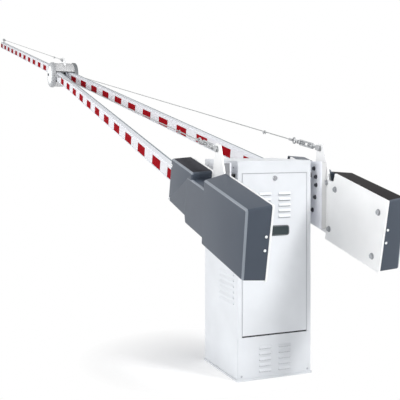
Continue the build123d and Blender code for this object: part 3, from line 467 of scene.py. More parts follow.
def box(bm, x, y, z, rounding=0.0, steps=3):
    """Box between two values on each axis, with rounded edges."""
    corners = [bm.verts.new((i, j, k)) for i in x for j in y for k in z]
    faces = [bm.faces.new([corners[k] for k in loop])
             for loop in ((0, 1, 3, 2), (4, 6, 7, 5), (0, 4, 5, 1), (2, 3, 7, 6), (0, 2, 6, 4), (1, 5, 7, 3))]
    if rounding:
        edges = list(dict.fromkeys(edge for face in faces for edge in face.edges))
        bmesh.ops.bevel(bm, geom=edges, offset=rounding, segments=steps, profile=0.5, affect="EDGES")


def rounded(points, radius, steps=4):
    """Closed outline with its corners eased into short curves."""
    points = [Vector(p) for p in points]
    out = []
    for k, corner in enumerate(points):
        before, after = points[k - 1] - corner, points[(k + 1) % len(points)] - corner
        reach = min(radius, before.length * 0.45, after.length * 0.45)
        a, b = corner + before.normalized() * reach, corner + after.normalized() * reach
        for j in range(steps + 1):
            t = j / steps
            out.append(a * (1 - t) ** 2 + corner * (2 * t * (1 - t)) + b * t ** 2)
    return out


def grown(points, amount):
    """Outline moved outward along its own normals."""
    area = sum(p.x * q.y - q.x * p.y for p, q in zip(points, points[1:] + points[:1]))
    turn = 1 if area > 0 else -1
    out = []
    for k, here in enumerate(points):
        a = (here - points[k - 1]).normalized()
        b = (points[(k + 1) % len(points)] - here).normalized()
        na, nb = Vector((a.y, -a.x)) * turn, Vector((b.y, -b.x)) * turn
        out.append(here + (na + nb) / max(1 + na.dot(nb), 0.2) * amount)
    return out


def stack(bm, outline, levels, place):
    """Skin through copies of an outline, each at a depth and with a growth, closed at both ends."""
    rings = []
    for depth, growth in levels:
        rings.append([bm.verts.new(place(p.x, p.y, depth)) for p in grown(outline, growth)])
    join_rings(bm, rings)
    bm.faces.new(rings[0])
    bm.faces.new(rings[-1])


def rectangle(half_x, half_y):
    """Corners of a rectangle about the origin."""
    return [Vector((-half_x, -half_y)), Vector((half_x, -half_y)), Vector((half_x, half_y)),
            Vector((-half_x, half_y))]


def both_ways(side, inner, outer):
    """Range between two distances from the middle, on one side of it."""
    return sorted((side * inner, side * outer))


def arc(steps, turn=math.pi):
    """Angles from nought to a turn in equal steps."""
    return [turn * k / steps for k in range(steps + 1)]


class Beam:
    """Line of an arm in the boom's frame, with its own across and up directions."""

    def __init__(self, side, start, toe, droop):
        self.start = boom_at(*start)
        self.forward = Vector((-math.cos(droop) * math.cos(toe), -side * math.cos(droop) * math.sin(toe),
                               -math.sin(droop)))
        self.across = Vector((-side * math.sin(toe), math.cos(toe), 0))
        self.up = self.across.cross(self.forward)
        turn = Matrix((self.forward, self.across, self.up)).transposed().to_4x4()
        self.matrix = Matrix.Translation(self.start) @ turn

    def place(self, s, a, h):
        return self.start + self.forward * s + self.across * a + self.up * h

    def box(self, bm, s, a, h, rounding=0.0):
        """Box along the beam between two values each way."""
        made = bmesh.new()
        box(made, s, a, h, rounding)
        made.transform(self.matrix)
        mesh = as_mesh("beam_box", made)
        bm.from_mesh(mesh)
        bpy.data.meshes.remove(mesh)


arms = {
    "near": Beam(-1, (0, -arm_offset, 0), toe_in, arm_droop),
    "far": Beam(1, (0, arm_offset, 0), toe_in, arm_droop),
    "front": Beam(1, (hub_u, 0, hub_w), 0, front_droop),
}

# Camera
lens = bpy.data.cameras.new("camera")
lens.lens = camera_lens
lens.sensor_width = camera_sensor
lens.shift_y = camera_shift
lens.clip_end = camera_reach
camera = placed("camera", lens)
camera.location = camera_place
camera.rotation_euler = (math.radians(90), 0, camera_turn)
bpy.context.scene.camera = camera


# Stay wires: straight routes between their end fittings, each a twisted strand
def stay(name, start, end):
    route = bpy.data.curves.new(name + "_route", "CURVE")
    route.dimensions = "3D"
    line = route.splines.new("NURBS")
    line.points.add(2)
    for point, place in zip(line.points, (start, (start + end) / 2, end)):
        point.co = (*(boom_matrix @ place), 1)
    line.order_u = 3
    line.use_endpoint_u = True
    line.resolution_u = int((end - start).length / strand_step)
    guide = placed(name + "_route", route)
    traced = bpy.data.meshes.new_from_object(guide.evaluated_get(bpy.context.evaluated_depsgraph_get()))
    path = [vertex.co.copy() for vertex in traced.vertices]
    bpy.data.objects.remove(guide)
    bpy.data.meshes.remove(traced)
    axis, a, b = basis(path[-1] - path[0])
    bm = bmesh.new()
    rings = []
    for point in path:
        turn = math.tau * (point - path[0]).length / strand_lay
        ring = []
        for j in range(strands * 2):
            t = math.pi * j / strands + turn
            radius = stay_radius * (1.0 if j % 2 == 0 else strand_valley)
            ring.append(bm.verts.new(point + (a * math.cos(t) + b * math.sin(t)) * radius))
        rings.append(ring)
    join_rings(bm, rings)
    bm.faces.new(rings[0])
    bm.faces.new(rings[-1])
    bm.transform(boom_matrix.inverted())
    wire = keep(name + "_wire", bm, "wire", "boom", name)


lines = {}
for side, name in both_sides:
    tip = boom_at(finger_hole[0], side * (plate_inner + plate_outer) / 2, finger_hole[1])
    eye = boom_at(eye_place[0], side * eye_place[1], eye_place[2])
    last = (eye - tip).length - eye_ring + eye_wire / 2
    e = (eye - tip).normalized()
    lines[name] = (tip, eye, e, last)
    stay(name + "_stay", tip + e * (turnbuckle_end + sleeve_length), tip + e * (last - sleeve_length))

fin_eye = boom_at(hub_u + fin_eye_ahead, 0, hub_w + fin_eye_rise)
anchor_eye = arms["front"].place(anchor_along, 0, 0) + along_z * (tube_height / 2 + anchor_rise)
front_line = (anchor_eye - fin_eye).normalized()
front_length = (anchor_eye - fin_eye).length
fin_sleeve, anchor_sleeve = long_fork - fork_cheek, short_fork - fork_cheek
stay("front_stay", fin_eye + front_line * (fin_sleeve + long_sleeve),
     anchor_eye - front_line * (anchor_sleeve + long_sleeve))


# End fittings of the stays
def fork(bm, tip, e, half_gap, length):
    """Jaw with a headed pin round a plate that lies across Y."""
    n = e.cross(along_y)
    reach = length - fork_cheek
    outline = [Vector((reach, -fork_half))]
    outline += [Vector((-fork_round * math.sin(t), -fork_round * math.cos(t))) for t in arc(12)]
    outline += [Vector((reach, fork_half))]
    cheek_levels = [(0, -0.0006), (0.0006, 0), (fork_cheek - 0.0012, 0), (fork_cheek, -0.0012)]
    for s in (-1, 1):
        def place(x, y, depth, s=s):
            return tip + e * x + n * y + along_y * (s * (half_gap + depth))
        stack(bm, outline, cheek_levels, place)
    wide = half_gap + fork_cheek

    def across(x, y, depth):
        return tip + e * (reach + depth) + along_y * x + n * y
    bridge_levels = [(-0.004, -0.001), (-0.003, 0), (0.003, 0), (0.006, -0.003)]
    stack(bm, rounded(rectangle(wide, fork_half), 0.004), bridge_levels, across)
    rod(bm, tip - along_y * (wide + pin_stand), along_y, pin_head, pin_head_high)
    rod(bm, tip - along_y * (wide + pin_past), along_y, pin_radius, wide * 2 + pin_past + pin_stand)
    rod(bm, tip + along_y * wide, along_y, pin_clip, pin_clip_high)


def eye_loop(bm, centre, e, back):
    """Wire end looped round a ring, its two legs running into the sleeve."""
    half, legs = 0.0075, [(0.020, 0.002), (0.010, 0.006)]
    leg_in = [centre + e * (back * along) - along_y * aside for along, aside in legs]
    bend = [centre + e * (-back * half * math.sin(t)) + along_y * (-half * math.cos(t)) for t in arc(8)]
    leg_out = [centre + e * (back * along) + along_y * aside for along, aside in reversed(legs)]
    sweep(bm, leg_in + bend + leg_out, loop_wire, 8)


def sleeve(bm, start, e, length):
    """Pressed ferrule, waisted where the tool closed it."""
    end, waist = sleeve_radius * 0.7, sleeve_radius * 0.86
    profile = [(0, 0), (0, end), (0.002, sleeve_radius)]
    for k in range(3):
        at = length * (0.22 + 0.26 * k)
        profile += [(at - 0.003, sleeve_radius), (at - 0.001, waist), (at + 0.002, waist),
                    (at + 0.004, sleeve_radius)]
    profile += [(length - 0.002, sleeve_radius), (length, end), (length, 0)]
    lathe(bm, start, e, profile, 18)


# Turnbuckles, by distance from the pin
bar_low, bar_high, bar_gap, bar_radius = 0.073, 0.185, 0.0105, 0.0046
thread_spans = ((0.030, 0.085), (0.146, 0.086))
collar_places = (0.062, 0.178)
collar_profile = [(0, 0), (0, 0.0085), (0.002, 0.0105), (0.009, 0.0125), (0.016, 0.0105), (0.018, 0.0085),
                  (0.018, 0)]
lock_nut, end_ring, loop_centre, ferrule = 0.202, 0.246, 0.260, 0.266
for name, (tip, _, e, _) in lines.items():
    n = e.cross(along_y)
    bm = bmesh.new()
    fork(bm, tip, e, finger_gap, short_fork)
    for start, length in thread_spans:
        thread(bm, tip + e * start, e, shank, length)
    loop = []
    for centre, turn in ((bar_high, 1), (bar_low, -1)):
        for t in arc(12):
            along, aside = centre + turn * bar_gap * math.sin(t), turn * bar_gap * math.cos(t)
            loop.append(tip + e * along + n * aside)
    sweep(bm, loop, bar_radius, 12, True)
    for start in collar_places:
        lathe(bm, tip + e * start, e, collar_profile, 24)
    hexagon(bm, tip + e * lock_nut, e, nut, 0.010)
    torus(bm, tip + e * end_ring, along_y, 0.014, 0.004)
    sleeve(bm, tip + e * ferrule, e, 0.030)
    eye_loop(bm, tip + e * loop_centre, e, 1)
    keep(name + "_turnbuckle_fitting", bm, "fitting", "boom", name + "_turnbuckle")

bm = bmesh.new()
boom_forward = boom_at(1, 0, 0)
for tip, eye, e, last in lines.values():
    torus(bm, eye, along_y, eye_ring, eye_wire)
    rod(bm, eye + boom_forward * (eye_ring - 0.002), boom_forward, shank, 0.066)
    hexagon(bm, eye + boom_forward * 0.052, boom_forward, nut, 0.008)
    sleeve(bm, tip + e * (last - sleeve_length), e, sleeve_length - 0.006)
    eye_loop(bm, tip + e * (last + eye_wire / 2), e, -1)
keep("hub_eye_fittings", bm, "fitting", "boom", "hub_eyes")

bm = bmesh.new()
fork(bm, fin_eye, front_line, finger_gap, long_fork)
sleeve(bm, fin_eye + front_line * fin_sleeve, front_line, long_sleeve)
fork(bm, anchor_eye, -front_line, anchor_gap, short_fork)
sleeve(bm, anchor_eye - front_line * anchor_sleeve, -front_line, long_sleeve)
keep("front_stay_fittings", bm, "fitting", "boom", "front_stay_forks")


def clamp(bm, point, e):
    """Saddle and U bolt with two nuts over a wire."""
    n = e.cross(along_y)
    half, leg = 0.0055, 0.015
    bend = [point + along_y * (-half * math.cos(t)) + n * (-half * math.sin(t) - 0.001) for t in arc(8)]
    sweep(bm, [bend[0] + n * leg] + bend + [bend[-1] + n * leg], 0.002, 8)

    def place(x, y, depth):
        return point + along_y * x + e * y + n * depth
    saddle = rounded(rectangle(0.009, 0.007), 0.003)
    stack(bm, saddle, [(0.0022, -0.001), (0.0032, 0), (0.007, 0), (0.008, -0.001)], place)
    for s in (-1, 1):
        hexagon(bm, point + along_y * (s * half) + n * 0.008, n, 0.0036, 0.0026)


bm = bmesh.new()
for tip, _, e, last in lines.values():
    clamp(bm, tip + e * tip_clamp, e)
    clamp(bm, tip + e * (last - end_clamp), e)
clamp(bm, fin_eye + front_line * fin_clamp, front_line)
clamp(bm, fin_eye + front_line * (front_length - end_clamp), front_line)
keep("wire_clamps", bm, "fitting", "boom", "cable_clamps")

# Hub: drum with its slots, rims, domed caps and cross studs
hub = boom_at(hub_u, 0, hub_w)
drum_half, drum_inner, drum_outer, drum_edge = 0.098, 0.114, 0.118, 0.0008
drum_profile = [(0, drum_inner), (0, drum_outer - drum_edge), (drum_edge, drum_outer)]
drum_profile += [(drum_half * 2 - along, radius) for along, radius in reversed(drum_profile)]
rear_slot = ((0, 0.130), (-0.092, 0.092), (-0.052, 0.052))
front_slot = ((-0.130, 0), (-0.029, 0.029), (-0.049, 0.049))
bm = bmesh.new()
lathe(bm, hub - along_y * drum_half, along_y, drum_profile, 64, True)
drum = keep("hub_barrel", bm, "drum", "boom", "hub_drum")
carve(drum, [(ranges, Matrix.Translation(hub)) for ranges in (rear_slot, front_slot)])

rim_profile = [(0.094, 0.1185), (0.094, 0.1235), (0.0955, 0.125)]
rim_profile += [(0.112 + 0.020 * math.sin(t), 0.109 + 0.016 * math.cos(t)) for t in arc(8, math.pi / 2)]
rim_profile += [(0.132, 0.098), (0.129, 0.095), (0.129, 0.090), (0.116, 0.090), (0.116, 0.1185)]
bm = bmesh.new()
for side in (-1, 1):
    lathe(bm, hub, along_y * side, rim_profile, 72, True)
rims = keep("hub_end_rims", bm, "rim", "boom", "hub_rims")
# Faces of the far rim take the darker copy, as painted shade
rims.data.materials.append(finishes["far_rim_painted_shade"])
for face in rims.data.polygons:
    face.material_index = 1 if face.center.y > 0 else 0

dome_profile = [(0.098, 0), (0.098, 0.083), (0.1165, 0.0835), (0.1285, 0.0895), (0.1305, 0.0885)]
dome_profile += [(0.1305 + 0.011 * math.cos(t), 0.088 * math.sin(t)) for t in arc(20)[9:1:-1]]
dome_profile += [(0.1412, 0.020), (0.1412, 0)]
bm = bmesh.new()
for side in (-1, 1):
    lathe(bm, hub, along_y * side, dome_profile, 64)
keep("hub_end_caps", bm, "cap", "boom", "hub_caps")

hub_stud, back_stud, stud_radius = 0.142, 0.092, 0.008
hub_seat, back_seat = 0.141, 0.0826
back = boom_at(hub_u - 0.058, 0, hub_w)
bm = bmesh.new()
for centre, half in ((hub, hub_stud), (back, back_stud)):
    rod(bm, centre - along_y * half, along_y, stud_radius, half * 2)
for side in (-1, 1):
    bolt(bm, hub + along_y * (side * hub_seat), along_y * side, 0.0115, 0.010)
    bolt(bm, back + along_y * (side * back_seat), along_y * side, 0.013, 0.012)
keep("hub_cross_bolts", bm, "dark_steel", "boom", "hub_studs")


# Moulded covers over the weights, open toward the plate, with the arm's way out
def moulding(bm, side, face, root, depth, inset=0.0):
    """Closed drafted block with eased edges, whose upper and rear-end rims carry a painted highlight; an
    inset gives the hollow inside it.
    """
    outer = grown([Vector(p) for p in face], -inset)
    inner = grown([Vector(p) for p in root], -inset)
    top = [bm.verts.new(boom_at(p.x, side * (plate_outer + depth - inset), p.y)) for p in outer]
    base = [bm.verts.new(boom_at(p.x, side * (plate_outer - inset), p.y)) for p in inner]
    count = len(top)
    made = [bm.faces.new(top), bm.faces.new(base)]
    for k in range(count):
        n = (k + 1) % count
        made.append(bm.faces.new([top[k], top[n], base[n], base[k]]))
    edges = dict.fromkeys(edge for f in made for edge in f.edges if not all(v in base for v in edge.verts))
    bmesh.ops.bevel(bm, geom=list(edges), offset=cover_edge, segments=5, profile=0.5, affect="EDGES")
    bmesh.ops.recalc_face_normals(bm, faces=bm.faces)
    # Rim faces that face up, or face backward at the rear end, get the painted highlight
    for f in bm.faces:
        middle = f.calc_center_median()
        on_rim = abs(middle.y) > plate_outer + depth - cover_edge and abs(f.normal.y) < 0.98
        upper = f.normal.z > highlight_tilt
        rear_end = f.normal.x > highlight_tilt and middle.x > highlight_end_x
        f.material_index = 1 if on_rim and (upper or rear_end) else 0


def block(name, side, face, root, depth, inset=0.0):
    bm = bmesh.new()
    moulding(bm, side, face, root, depth, inset)
    bm.transform(boom_matrix)
    return placed(name, as_mesh(name, bm, "cover", "cover_painted_highlight"))


def cover(side, name):
    """Three blocks joined, then hollowed; the far cover's crown and the near front block's top get a darker
    finish as painted shade.
    """
    blocks = dict(cover_blocks)
    if name == "far":
        depth, face, root = blocks["rear"]
        blocks["rear"] = (depth, far_crown + face[2:], root)
    made = [block(name + "_cover_" + part, side, face, root, depth)
            for part, (depth, face, root) in blocks.items()]
    shell = made[0]
    for extra in made[1:]:
        combine(shell, extra, "UNION")
    for depth, face, root in blocks.values():
        combine(shell, block("hollow", side, face, root, depth, cover_skin), "DIFFERENCE")
    half_a, half_h = tube_width / 2 + exit_clear, tube_height / 2 + exit_clear
    carve(shell, [((exit_range, (-half_a, half_a), (-half_h, half_h)), arms[name].matrix)])
    # Third slot: painted shade on the far cover's crown and on the near front block's top
    shell.data.materials.append(finishes["cover_crown_painted_shade" if name == "far" else "cover_top_painted_shade"])
    for face in shell.data.polygons:
        face.use_smooth = face.area < flat_face_area
        if name == "far":
            top = face.normal.z > far_top_tilt and face.center.x > far_top_x
        else:
            top = face.normal.z > near_top_tilt and face.center.x < near_top_x and face.material_index == 0
        if top:
            face.material_index = 2
    shell.data.set_sharp_from_angle(angle=smooth_limit)
    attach(shell, "boom")
    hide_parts(name + "_cover")


for side, name in both_sides:
    cover(side, name)

# Screws of the covers: cupped washers in front, plain dots at the rear
cup_sink = 0.0012
cup_profile = [(0, 0.0045), (0, 0.0090), (0.0012, 0.0092), (0.0024, 0.0080), (0.0024, 0.0050),
               (0.0012, 0.0045)]
front_screws = [(boom_at(front_screw_u, side * (plate_outer + front_depth - cup_sink), w), along_y * side)
                for side in (-1, 1) for w in front_screw_rows]
bm = bmesh.new()
for seat, out in front_screws:
    lathe(bm, seat, out, cup_profile, 28, True)
for side in (-1, 1):
    for w in rear_screw_rows:
        screw(bm, boom_at(rear_screw_u, side * (plate_outer + 0.014), w), boom_at(-1, 0, 0), 0.006)
keep("cover_screw_cups", bm, "cap", "boom")
bm = bmesh.new()
for seat, out in front_screws:
    screw(bm, seat, out, 0.0044)
keep("cover_screws", bm, "dark_steel", "boom")

# Spacers that close the gap between each bracket and its plate; the near one's darker grey is painted shade
spacer = [Vector(p) for p in ((-0.1805, 0.190), (-0.1735, 0.188), (-0.2350, -0.124), (-0.2420, -0.124))]
spacer_levels = [(0.2433, -0.0006), (0.2439, 0), (0.2684, 0), (0.2690, -0.0006)]
for side, name in both_sides:
    def beside(u, w, y, side=side):
        return boom_at(u, side * y, w)
    bm = bmesh.new()
    stack(bm, spacer, spacer_levels, beside)
    keep(name + "_bracket_spacer", bm, name + "_spacer", "boom")

# Bolts of the weights, plates and shaft
plate_bolt, bracket_bolt, bolt_high = 0.0115, 0.0085, 0.009
shaft_face = 0.285
bm = bmesh.new()
for side in (-1, 1):
    for u, w in weight_bolt_points + [spare_bolt]:
        bolt(bm, boom_at(u, side * plate_inner, w), along_y * -side, plate_bolt, bolt_high)
    for u, w in weight_bolt_points:
        bolt(bm, boom_at(u, side * pack_top, w), along_y * side, plate_bolt, bolt_high)
keep("plate_hex_bolts", bm, "steel", "boom", "plate_bolts")

bm = bmesh.new()
for side in (-1, 1):
    for u, w in hub_bolt_points:
        bolt(bm, boom_at(u, side * bracket_inner, w), along_y * -side, bracket_bolt, bolt_high)
keep("bracket_hex_bolts", bm, "dark_steel", "boom", "hub_bolts")

washer_profile = [(0, 0), (0, 0.039), (0.001, 0.040), (0.005, 0.040), (0.006, 0.039), (0.006, 0)]
bm = bmesh.new()
for side in (-1, 1):
    face = boom_at(0, side * shaft_face, 0)
    lathe(bm, face, along_y * side, washer_profile, 48)
    bolt(bm, face + along_y * (side * washer_profile[-1][0]), along_y * side, 0.015, 0.010)
keep("shaft_end_washers", bm, "steel", "boom", "shaft_retainers")


# Red squares on the reflective strips
def red_bands(name, centres):
    bm = bmesh.new()
    half = band_length / 2
    film = tube_width / 2 + strip_thick
    for centre in centres:
        for side in (-1, 1):
            sides = both_ways(side, film, film + band_thick)
            arms[name].box(bm, (centre - half, centre + half), sides, (band_low, band_high))
    keep(name + "_red_bands", bm, "red_film", "boom")


red_bands("near", [0.356] + [0.656 + 0.3305 * k for k in range(11)])
red_bands("far", [0.270] + [0.604 + 0.3234 * k for k in range(12)])
red_bands("front", [0.811 + 0.3215 * k for k in range(-1, 11)])

# Grey lips along the upper far and the lower near corner of each arm
lip_edge = 0.0003
bm = bmesh.new()
for name, low, high in (("near", 0.230, 4.300), ("far", 0.230, 4.300), ("front", 0.100, 4.106)):
    arms[name].box(bm, (low, high), (0.0115, 0.0227), (0.0392, 0.0403), lip_edge)
    arms[name].box(bm, (low, high), (-0.0232, -0.0222), (-0.0403, -0.0335), lip_edge)
keep("arm_lips", bm, "lip", "boom")

# Cap on the boom's tip, with the plug that goes into the tube
bm = bmesh.new()
for along, half_a, half_h, edge in (((4.108, 4.1355), 0.0225, 0.040, 0.006),
                                    ((4.070, 4.112), 0.0193, 0.0368, 0.001)):
    arms["front"].box(bm, along, (-half_a, half_a), (-half_h, half_h), edge)
keep("boom_tip_cap", bm, "tip", "boom", "tip_cap")

# Flange bearings with their seals and grease nipples
square = rounded(rectangle(0.055, 0.055), 0.018, 6)
seal_profile = [(0.008, 0), (0.008, 0.048), (0.012, 0.0455), (0.020, 0.044), (0.022, 0.042), (0.022, 0.038),
                (0.0205, 0.037), (0.0205, 0.031), (0.022, 0.0302), (0.022, 0)]
flange_bolt = 0.0385
bm = bmesh.new()
for side in (-1, 1):
    def flange(x, y, depth, side=side):
        return Vector((x, side * (cabinet_side + depth), pivot_height + y))
    stack(bm, square, [(0, 0), (0.008, -0.0005), (0.010, -0.003)], flange)
    seat = Vector((0, side * cabinet_side, pivot_height))
    lathe(bm, seat, along_y * side, seal_profile, 48)
    for sx in (-1, 1):
        for sz in (-1, 1):
            place = seat + Vector((sx * flange_bolt, side * 0.0095, sz * flange_bolt))
            bolt(bm, place, along_y * side, 0.006, 0.006)
    rod(bm, seat + Vector((0, side * 0.014, 0.044)), along_z, 0.003, 0.008, 10)
keep("bearing_castings", bm, "iron", "cabinet", "shaft_bearings")

# Rubber side stops
stop_height, stop_screws = 0.944, (0.143, 0.163)
bm = bmesh.new()
for side in (-1, 1):
    box(bm, (0.134, 0.172), both_ways(side, 0.1932, 0.213), (stop_height - 0.012, stop_height + 0.012), 0.004)
    for x in stop_screws:
        screw(bm, Vector((x, side * 0.2128, stop_height)), along_y * side, 0.004)
keep("stop_blocks", bm, "black", "cabinet", "side_stops")

# Seal at the door's sides and top
seal_depths, seal_outer, seal_edge = (0.1915, 0.1938), 0.1722, 0.0006
bm = bmesh.new()
for side in (-1, 1):
    box(bm, seal_depths, both_ways(side, 0.1684, seal_outer), (0.204, 0.958), seal_edge, 2)
box(bm, seal_depths, (-seal_outer, seal_outer), (0.9563, 0.9593), seal_edge, 2)
keep("door_seal", bm, "seal", "cabinet")

# Lock rosette, badge plate with a raised rim, panel screws
lock_height, badge_height = 0.934, 0.688
rosette_profile = [(0, 0.0091), (0, 0.0125), (0.001, 0.0125), (0.0028, 0.0115), (0.004, 0.0100),
                   (0.004, 0.0091)]
bm = bmesh.new()
lathe(bm, Vector((front_face, 0, lock_height)), along_x, rosette_profile, 48, True)
keep("lock_rosette", bm, "chrome", "door", "lock_bezel")


def on_door(y, z, depth):
    return Vector((front_face + depth, y, badge_height + z))


plate = rounded(rectangle(0.075, 0.024), 0.015, 6)
rim_levels = [(0.0028, -0.0022), (0.0034, -0.0024), (0.0034, -0.0038), (0.0028, -0.004)]
bm = bmesh.new()
stack(bm, plate, [(0.0002, 0), (0.0022, 0), (0.003, -0.0008)], on_door)
keep("badge_plate", bm, "badge", "door", "blank_badge")
bm = bmesh.new()
rings = [[bm.verts.new(on_door(p.x, p.y, depth)) for p in grown(plate, growth)]
         for depth, growth in rim_levels]
join_rings(bm, rings, True)
keep("badge_rim", bm, "chrome", "door")

bm = bmesh.new()
for side in (-1, 1):
    screw(bm, Vector((front_face, side * 0.173, 0.022)), along_x, 0.005)
keep("front_panel_screws", bm, "seal", "cabinet")

# Dark strips under the lips of the louvres, painted shadow, and a black strip in the gap under the door,
# painted shade
front_shadow_strips = ((front_face - 0.0006, front_face + 0.0003),
               (louvre_centre - louvre_length / 2, louvre_centre + louvre_length / 2))
side_shadow_strips = ((-0.006, 0.154), (0.1924, 0.1933))
for name, body, finish, rows, top, (along, across) in (
        ("door", "door", "motor", 5, 0.869, front_shadow_strips),
        ("lower", "cabinet", "motor", 5, 0.154, front_shadow_strips),
        ("side", "cabinet", "lip", 6, 0.495, side_shadow_strips)):
    bm = bmesh.new()
    for row in range(rows):
        under = top - row * louvre_pitch - louvre_height
        for side in (-1, 1):
            box(bm, along, both_ways(side, *across), (under - louvre_shadow_height, under), shadow_strip_edge, 2)
    keep(name + "_louvre_shadow_strips", bm, finish, body)
# Black strip in the gap under the door: painted shade
bm = bmesh.new()
box(bm, (0.1895, 0.1940), (-0.1680, 0.1680), (0.1995, 0.2066), 0.0008)
keep("door_gap_shadow_strip", bm, "rubber", "cabinet")

bm = bmesh.new()
for side in (-1, 1):
    for x in (-0.150, 0.150):
        screw(bm, Vector((x, side * cabinet_side, 0.985)), along_y * side, 0.004)
keep("hood_screws", bm, "steel", "cabinet")

# Drive details behind the door: gearbox, shelf and motor bolts, fan guard, pulleys, lid screws
gear_bolt_circle, gear_face = 0.055, 0.080
gear_foot, motor_foot = (0.084, 0.076, 0.712), (0.050, 0.050, 0.435)
worm_lid_x, worm_lid_half = 0.092, 0.024
bm = bmesh.new()
for side in (-1, 1):
    for k in range(6):
        t = math.tau * k / 6
        place = Vector((gear_bolt_circle * math.cos(t), side * gear_face,
                        pivot_height + gear_bolt_circle * math.sin(t)))
        bolt(bm, place, along_y * side, 0.005, 0.005)
for sx in (-1, 1):
    for sy in (-1, 1):
        for x, y, z in (gear_foot, motor_foot):
            bolt(bm, Vector((sx * x, sy * y, z)), along_z, 0.006, 0.006)
        lid = Vector((worm_lid_x, sx * worm_lid_half, worm_height + sy * worm_lid_half))
        bolt(bm, lid, along_x, 0.004, 0.004)
keep("drive_bolts", bm, "steel", "cabinet")

guard_profile = [(0, 0.0675), (0, 0.0700), (0.040, 0.0700), (0.046, 0.0685), (0.0495, 0.064), (0.0495, 0.060),
                 (0.046, 0.060)]
guard_wire, guard_spokes = 0.0014, 8
motor_seat = Vector((-0.062, 0, motor_height))
guard_face = motor_seat - along_x * 0.0485
bm = bmesh.new()
lathe(bm, motor_seat, -along_x, guard_profile, 48)
for radius in (0.016, 0.028, 0.040, 0.052, 0.062):
    torus(bm, guard_face, along_x, radius, guard_wire, 40, 8)
for k in range(guard_spokes):
    t = math.tau * k / guard_spokes
    spoke = Vector((0, math.cos(t), math.sin(t)))
    rod(bm, guard_face + spoke * 0.006, spoke, guard_wire, 0.058, 8, 0.0003)
keep("motor_fan_guard", bm, "black", "cabinet")

pulley_back, pulley_width, shaft_end = 0.140, 0.018, 0.142


def wheel(bm, height, radius, shaft, shaft_start):
    """Grooved pulley with a dished web, hub, set screws and shaft."""
    boss, fillet, web, tread = radius * 0.32, radius * 0.36, radius * 0.74, radius * 0.80
    back = [(0, 0), (0, boss), (0.004, fillet), (0.005, web), (0, tread)]
    groove = [(0, radius - 0.001), (0.001, radius), (0.003, radius), (0.0050, radius - 0.008),
              (0.0130, radius - 0.008), (0.0150, radius), (0.017, radius), (pulley_width, radius - 0.001)]
    front = [(pulley_width, tread), (0.013, web), (0.013, fillet), (pulley_width, boss),
             (pulley_width, shaft + 0.001), (0.017, shaft), (0.017, 0)]
    centre = Vector((pulley_back, 0, height))
    lathe(bm, centre, along_x, back + groove + front, 64)
    rod(bm, Vector((shaft_start, 0, height)), along_x, shaft, shaft_end - shaft_start)
    for k in range(3):
        t = math.tau * k / 3
        out = Vector((0, math.cos(t), math.sin(t))) * (radius * 0.24)
        screw(bm, centre + along_x * 0.0175 + out, along_x, 0.0026)


for name, body, height, radius, shaft, start in (
        ("worm_pulley", "input_pulley", worm_height, 0.070, 0.0125, 0.047),
        ("motor_pulley", "motor_rotor", motor_height, 0.045, 0.010, 0.092)):
    bm = bmesh.new()
    wheel(bm, height, radius, shaft, start)
    keep(name + "_wheel", bm, "iron", body, name)

bm = bmesh.new()
for y in (0.106, 0.166):
    for z in (0.170, 0.390):
        screw(bm, Vector((0.072, y, z)), along_x, 0.004)
for x in (-0.028, 0.028):
    for z in (0.492, 0.540):
        screw(bm, Vector((x, -0.098, z)), -along_y, 0.003)
keep("box_lid_screws", bm, "steel", "cabinet")


# Light: a key from the right, a soft fill from the left and a long lamp beside the boom
def area(name, place, target, size, power):
    data = bpy.data.lights.new(name, "AREA")
    data.energy = power
    data.shape = "RECTANGLE"
    data.size, data.size_y = size
    lamp = placed(name, data)
    lamp.location = place
    lamp.rotation_euler = (Vector(target) - Vector(place)).to_track_quat("-Z", "Y").to_euler()


area("right_key", (4.94, 3.23, 6.16), (0.195, 0.15, 0.5), (1.8, 1.8), 460.0)
area("left_fill", (2.0, -6.5, 2.4), (-1.0, 0, 0.8), (5.0, 2.5), 185.0)
area("boom_light", (-5.0, -6.0, 3.0), (-5.0, 0, 1.8), (6.0, 2.0), 200.0)

world_tint = (0.92, 0.95, 1.0, 1)
world_levels = (0.50, 0.27, 0.05, 0.45)
floor_half, floor_drop = 14.0, -0.001
floor_white, floor_rough = (0.95, 0.95, 0.95, 1), 0.9
fade_centre, fade_radius, floor_glow = (-0.25, -0.20, 0), 0.62, 0.16


def camera_mix(tree, plain, seen, out):
    """Shows one shader to the camera, straight or in a reflection, and the other to everything else."""
    path = tree.nodes.new("ShaderNodeLightPath")
    mix = tree.nodes.new("ShaderNodeMixShader")
    shown = path.outputs["Is Camera Ray"]
    for ray in ("Is Glossy Ray", "Is Transmission Ray"):
        either = tree.nodes.new("ShaderNodeMath")
        either.operation = "MAXIMUM"
        tree.links.new(shown, either.inputs[0])
        tree.links.new(path.outputs[ray], either.inputs[1])
        shown = either.outputs["Value"]
    tree.links.new(shown, mix.inputs["Fac"])
    tree.links.new(plain, mix.inputs[1])
    tree.links.new(seen, mix.inputs[2])
    tree.links.new(mix.outputs["Shader"], out.inputs["Surface"])


def unlit(tree, kind, strength, colour=(1, 1, 1, 1)):
    """Background or emission shader of one strength and colour."""
    made = tree.nodes.new(kind)
    made.inputs["Color"].default_value = colour
    made.inputs["Strength"].default_value = strength
    return made


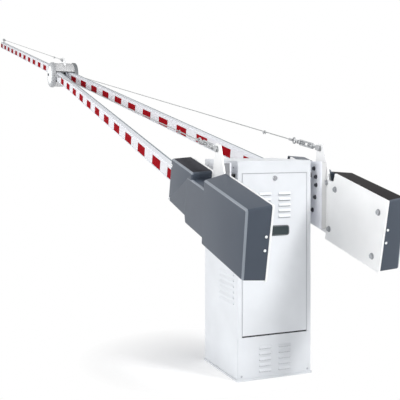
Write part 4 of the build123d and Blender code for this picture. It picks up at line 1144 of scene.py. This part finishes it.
# World: white where it is seen; its light is stronger from the sides than from above
world = bpy.data.worlds.new("studio")
world.use_nodes = True
bpy.context.scene.world = world
tree = world.node_tree
tree.nodes.clear()
fill = unlit(tree, "ShaderNodeBackground", 1.0, world_tint)
sky = tree.nodes.new("ShaderNodeTexCoord")
split = tree.nodes.new("ShaderNodeSeparateXYZ")
tree.links.new(sky.outputs["Generated"], split.inputs["Vector"])
tree.links.new(ranged(tree, split.outputs["Z"], *world_levels), fill.inputs["Strength"])
seen = unlit(tree, "ShaderNodeBackground", 1.0)
output = tree.nodes.new("ShaderNodeOutputWorld")
camera_mix(tree, fill.outputs["Background"], seen.outputs["Background"], output)

# Floor: pale and matt, its shadows fading out to the white of the backdrop
bm = bmesh.new()
bmesh.ops.create_grid(bm, x_segments=8, y_segments=8, size=floor_half)
floor_mesh = as_mesh("floor", bm)
made, tree, bsdf = shader("floor_white")
bsdf.inputs["Base Color"].default_value = floor_white
bsdf.inputs["Roughness"].default_value = floor_rough
place = tree.nodes.new("ShaderNodeTexCoord")
distance = tree.nodes.new("ShaderNodeVectorMath")
distance.operation = "DISTANCE"
distance.inputs[1].default_value = fade_centre
tree.links.new(place.outputs["Object"], distance.inputs[0])
fade = ranged(tree, distance.outputs["Value"], 0.0, 1.0, 0.0, fade_radius)
white = unlit(tree, "ShaderNodeEmission", 1.0)
glow = unlit(tree, "ShaderNodeEmission", floor_glow)
lifted = tree.nodes.new("ShaderNodeAddShader")
tree.links.new(bsdf.outputs["BSDF"], lifted.inputs[0])
tree.links.new(glow.outputs["Emission"], lifted.inputs[1])
near_mix = tree.nodes.new("ShaderNodeMixShader")
tree.links.new(fade, near_mix.inputs["Fac"])
tree.links.new(lifted.outputs["Shader"], near_mix.inputs[1])
tree.links.new(white.outputs["Emission"], near_mix.inputs[2])
camera_mix(tree, bsdf.outputs["BSDF"], near_mix.outputs["Shader"], tree.nodes["Material Output"])
floor_mesh.materials.append(made)
floor = placed("floor", floor_mesh)
floor.location = (0, 0, floor_drop)

bpy.context.scene.view_settings.view_transform = "Standard"
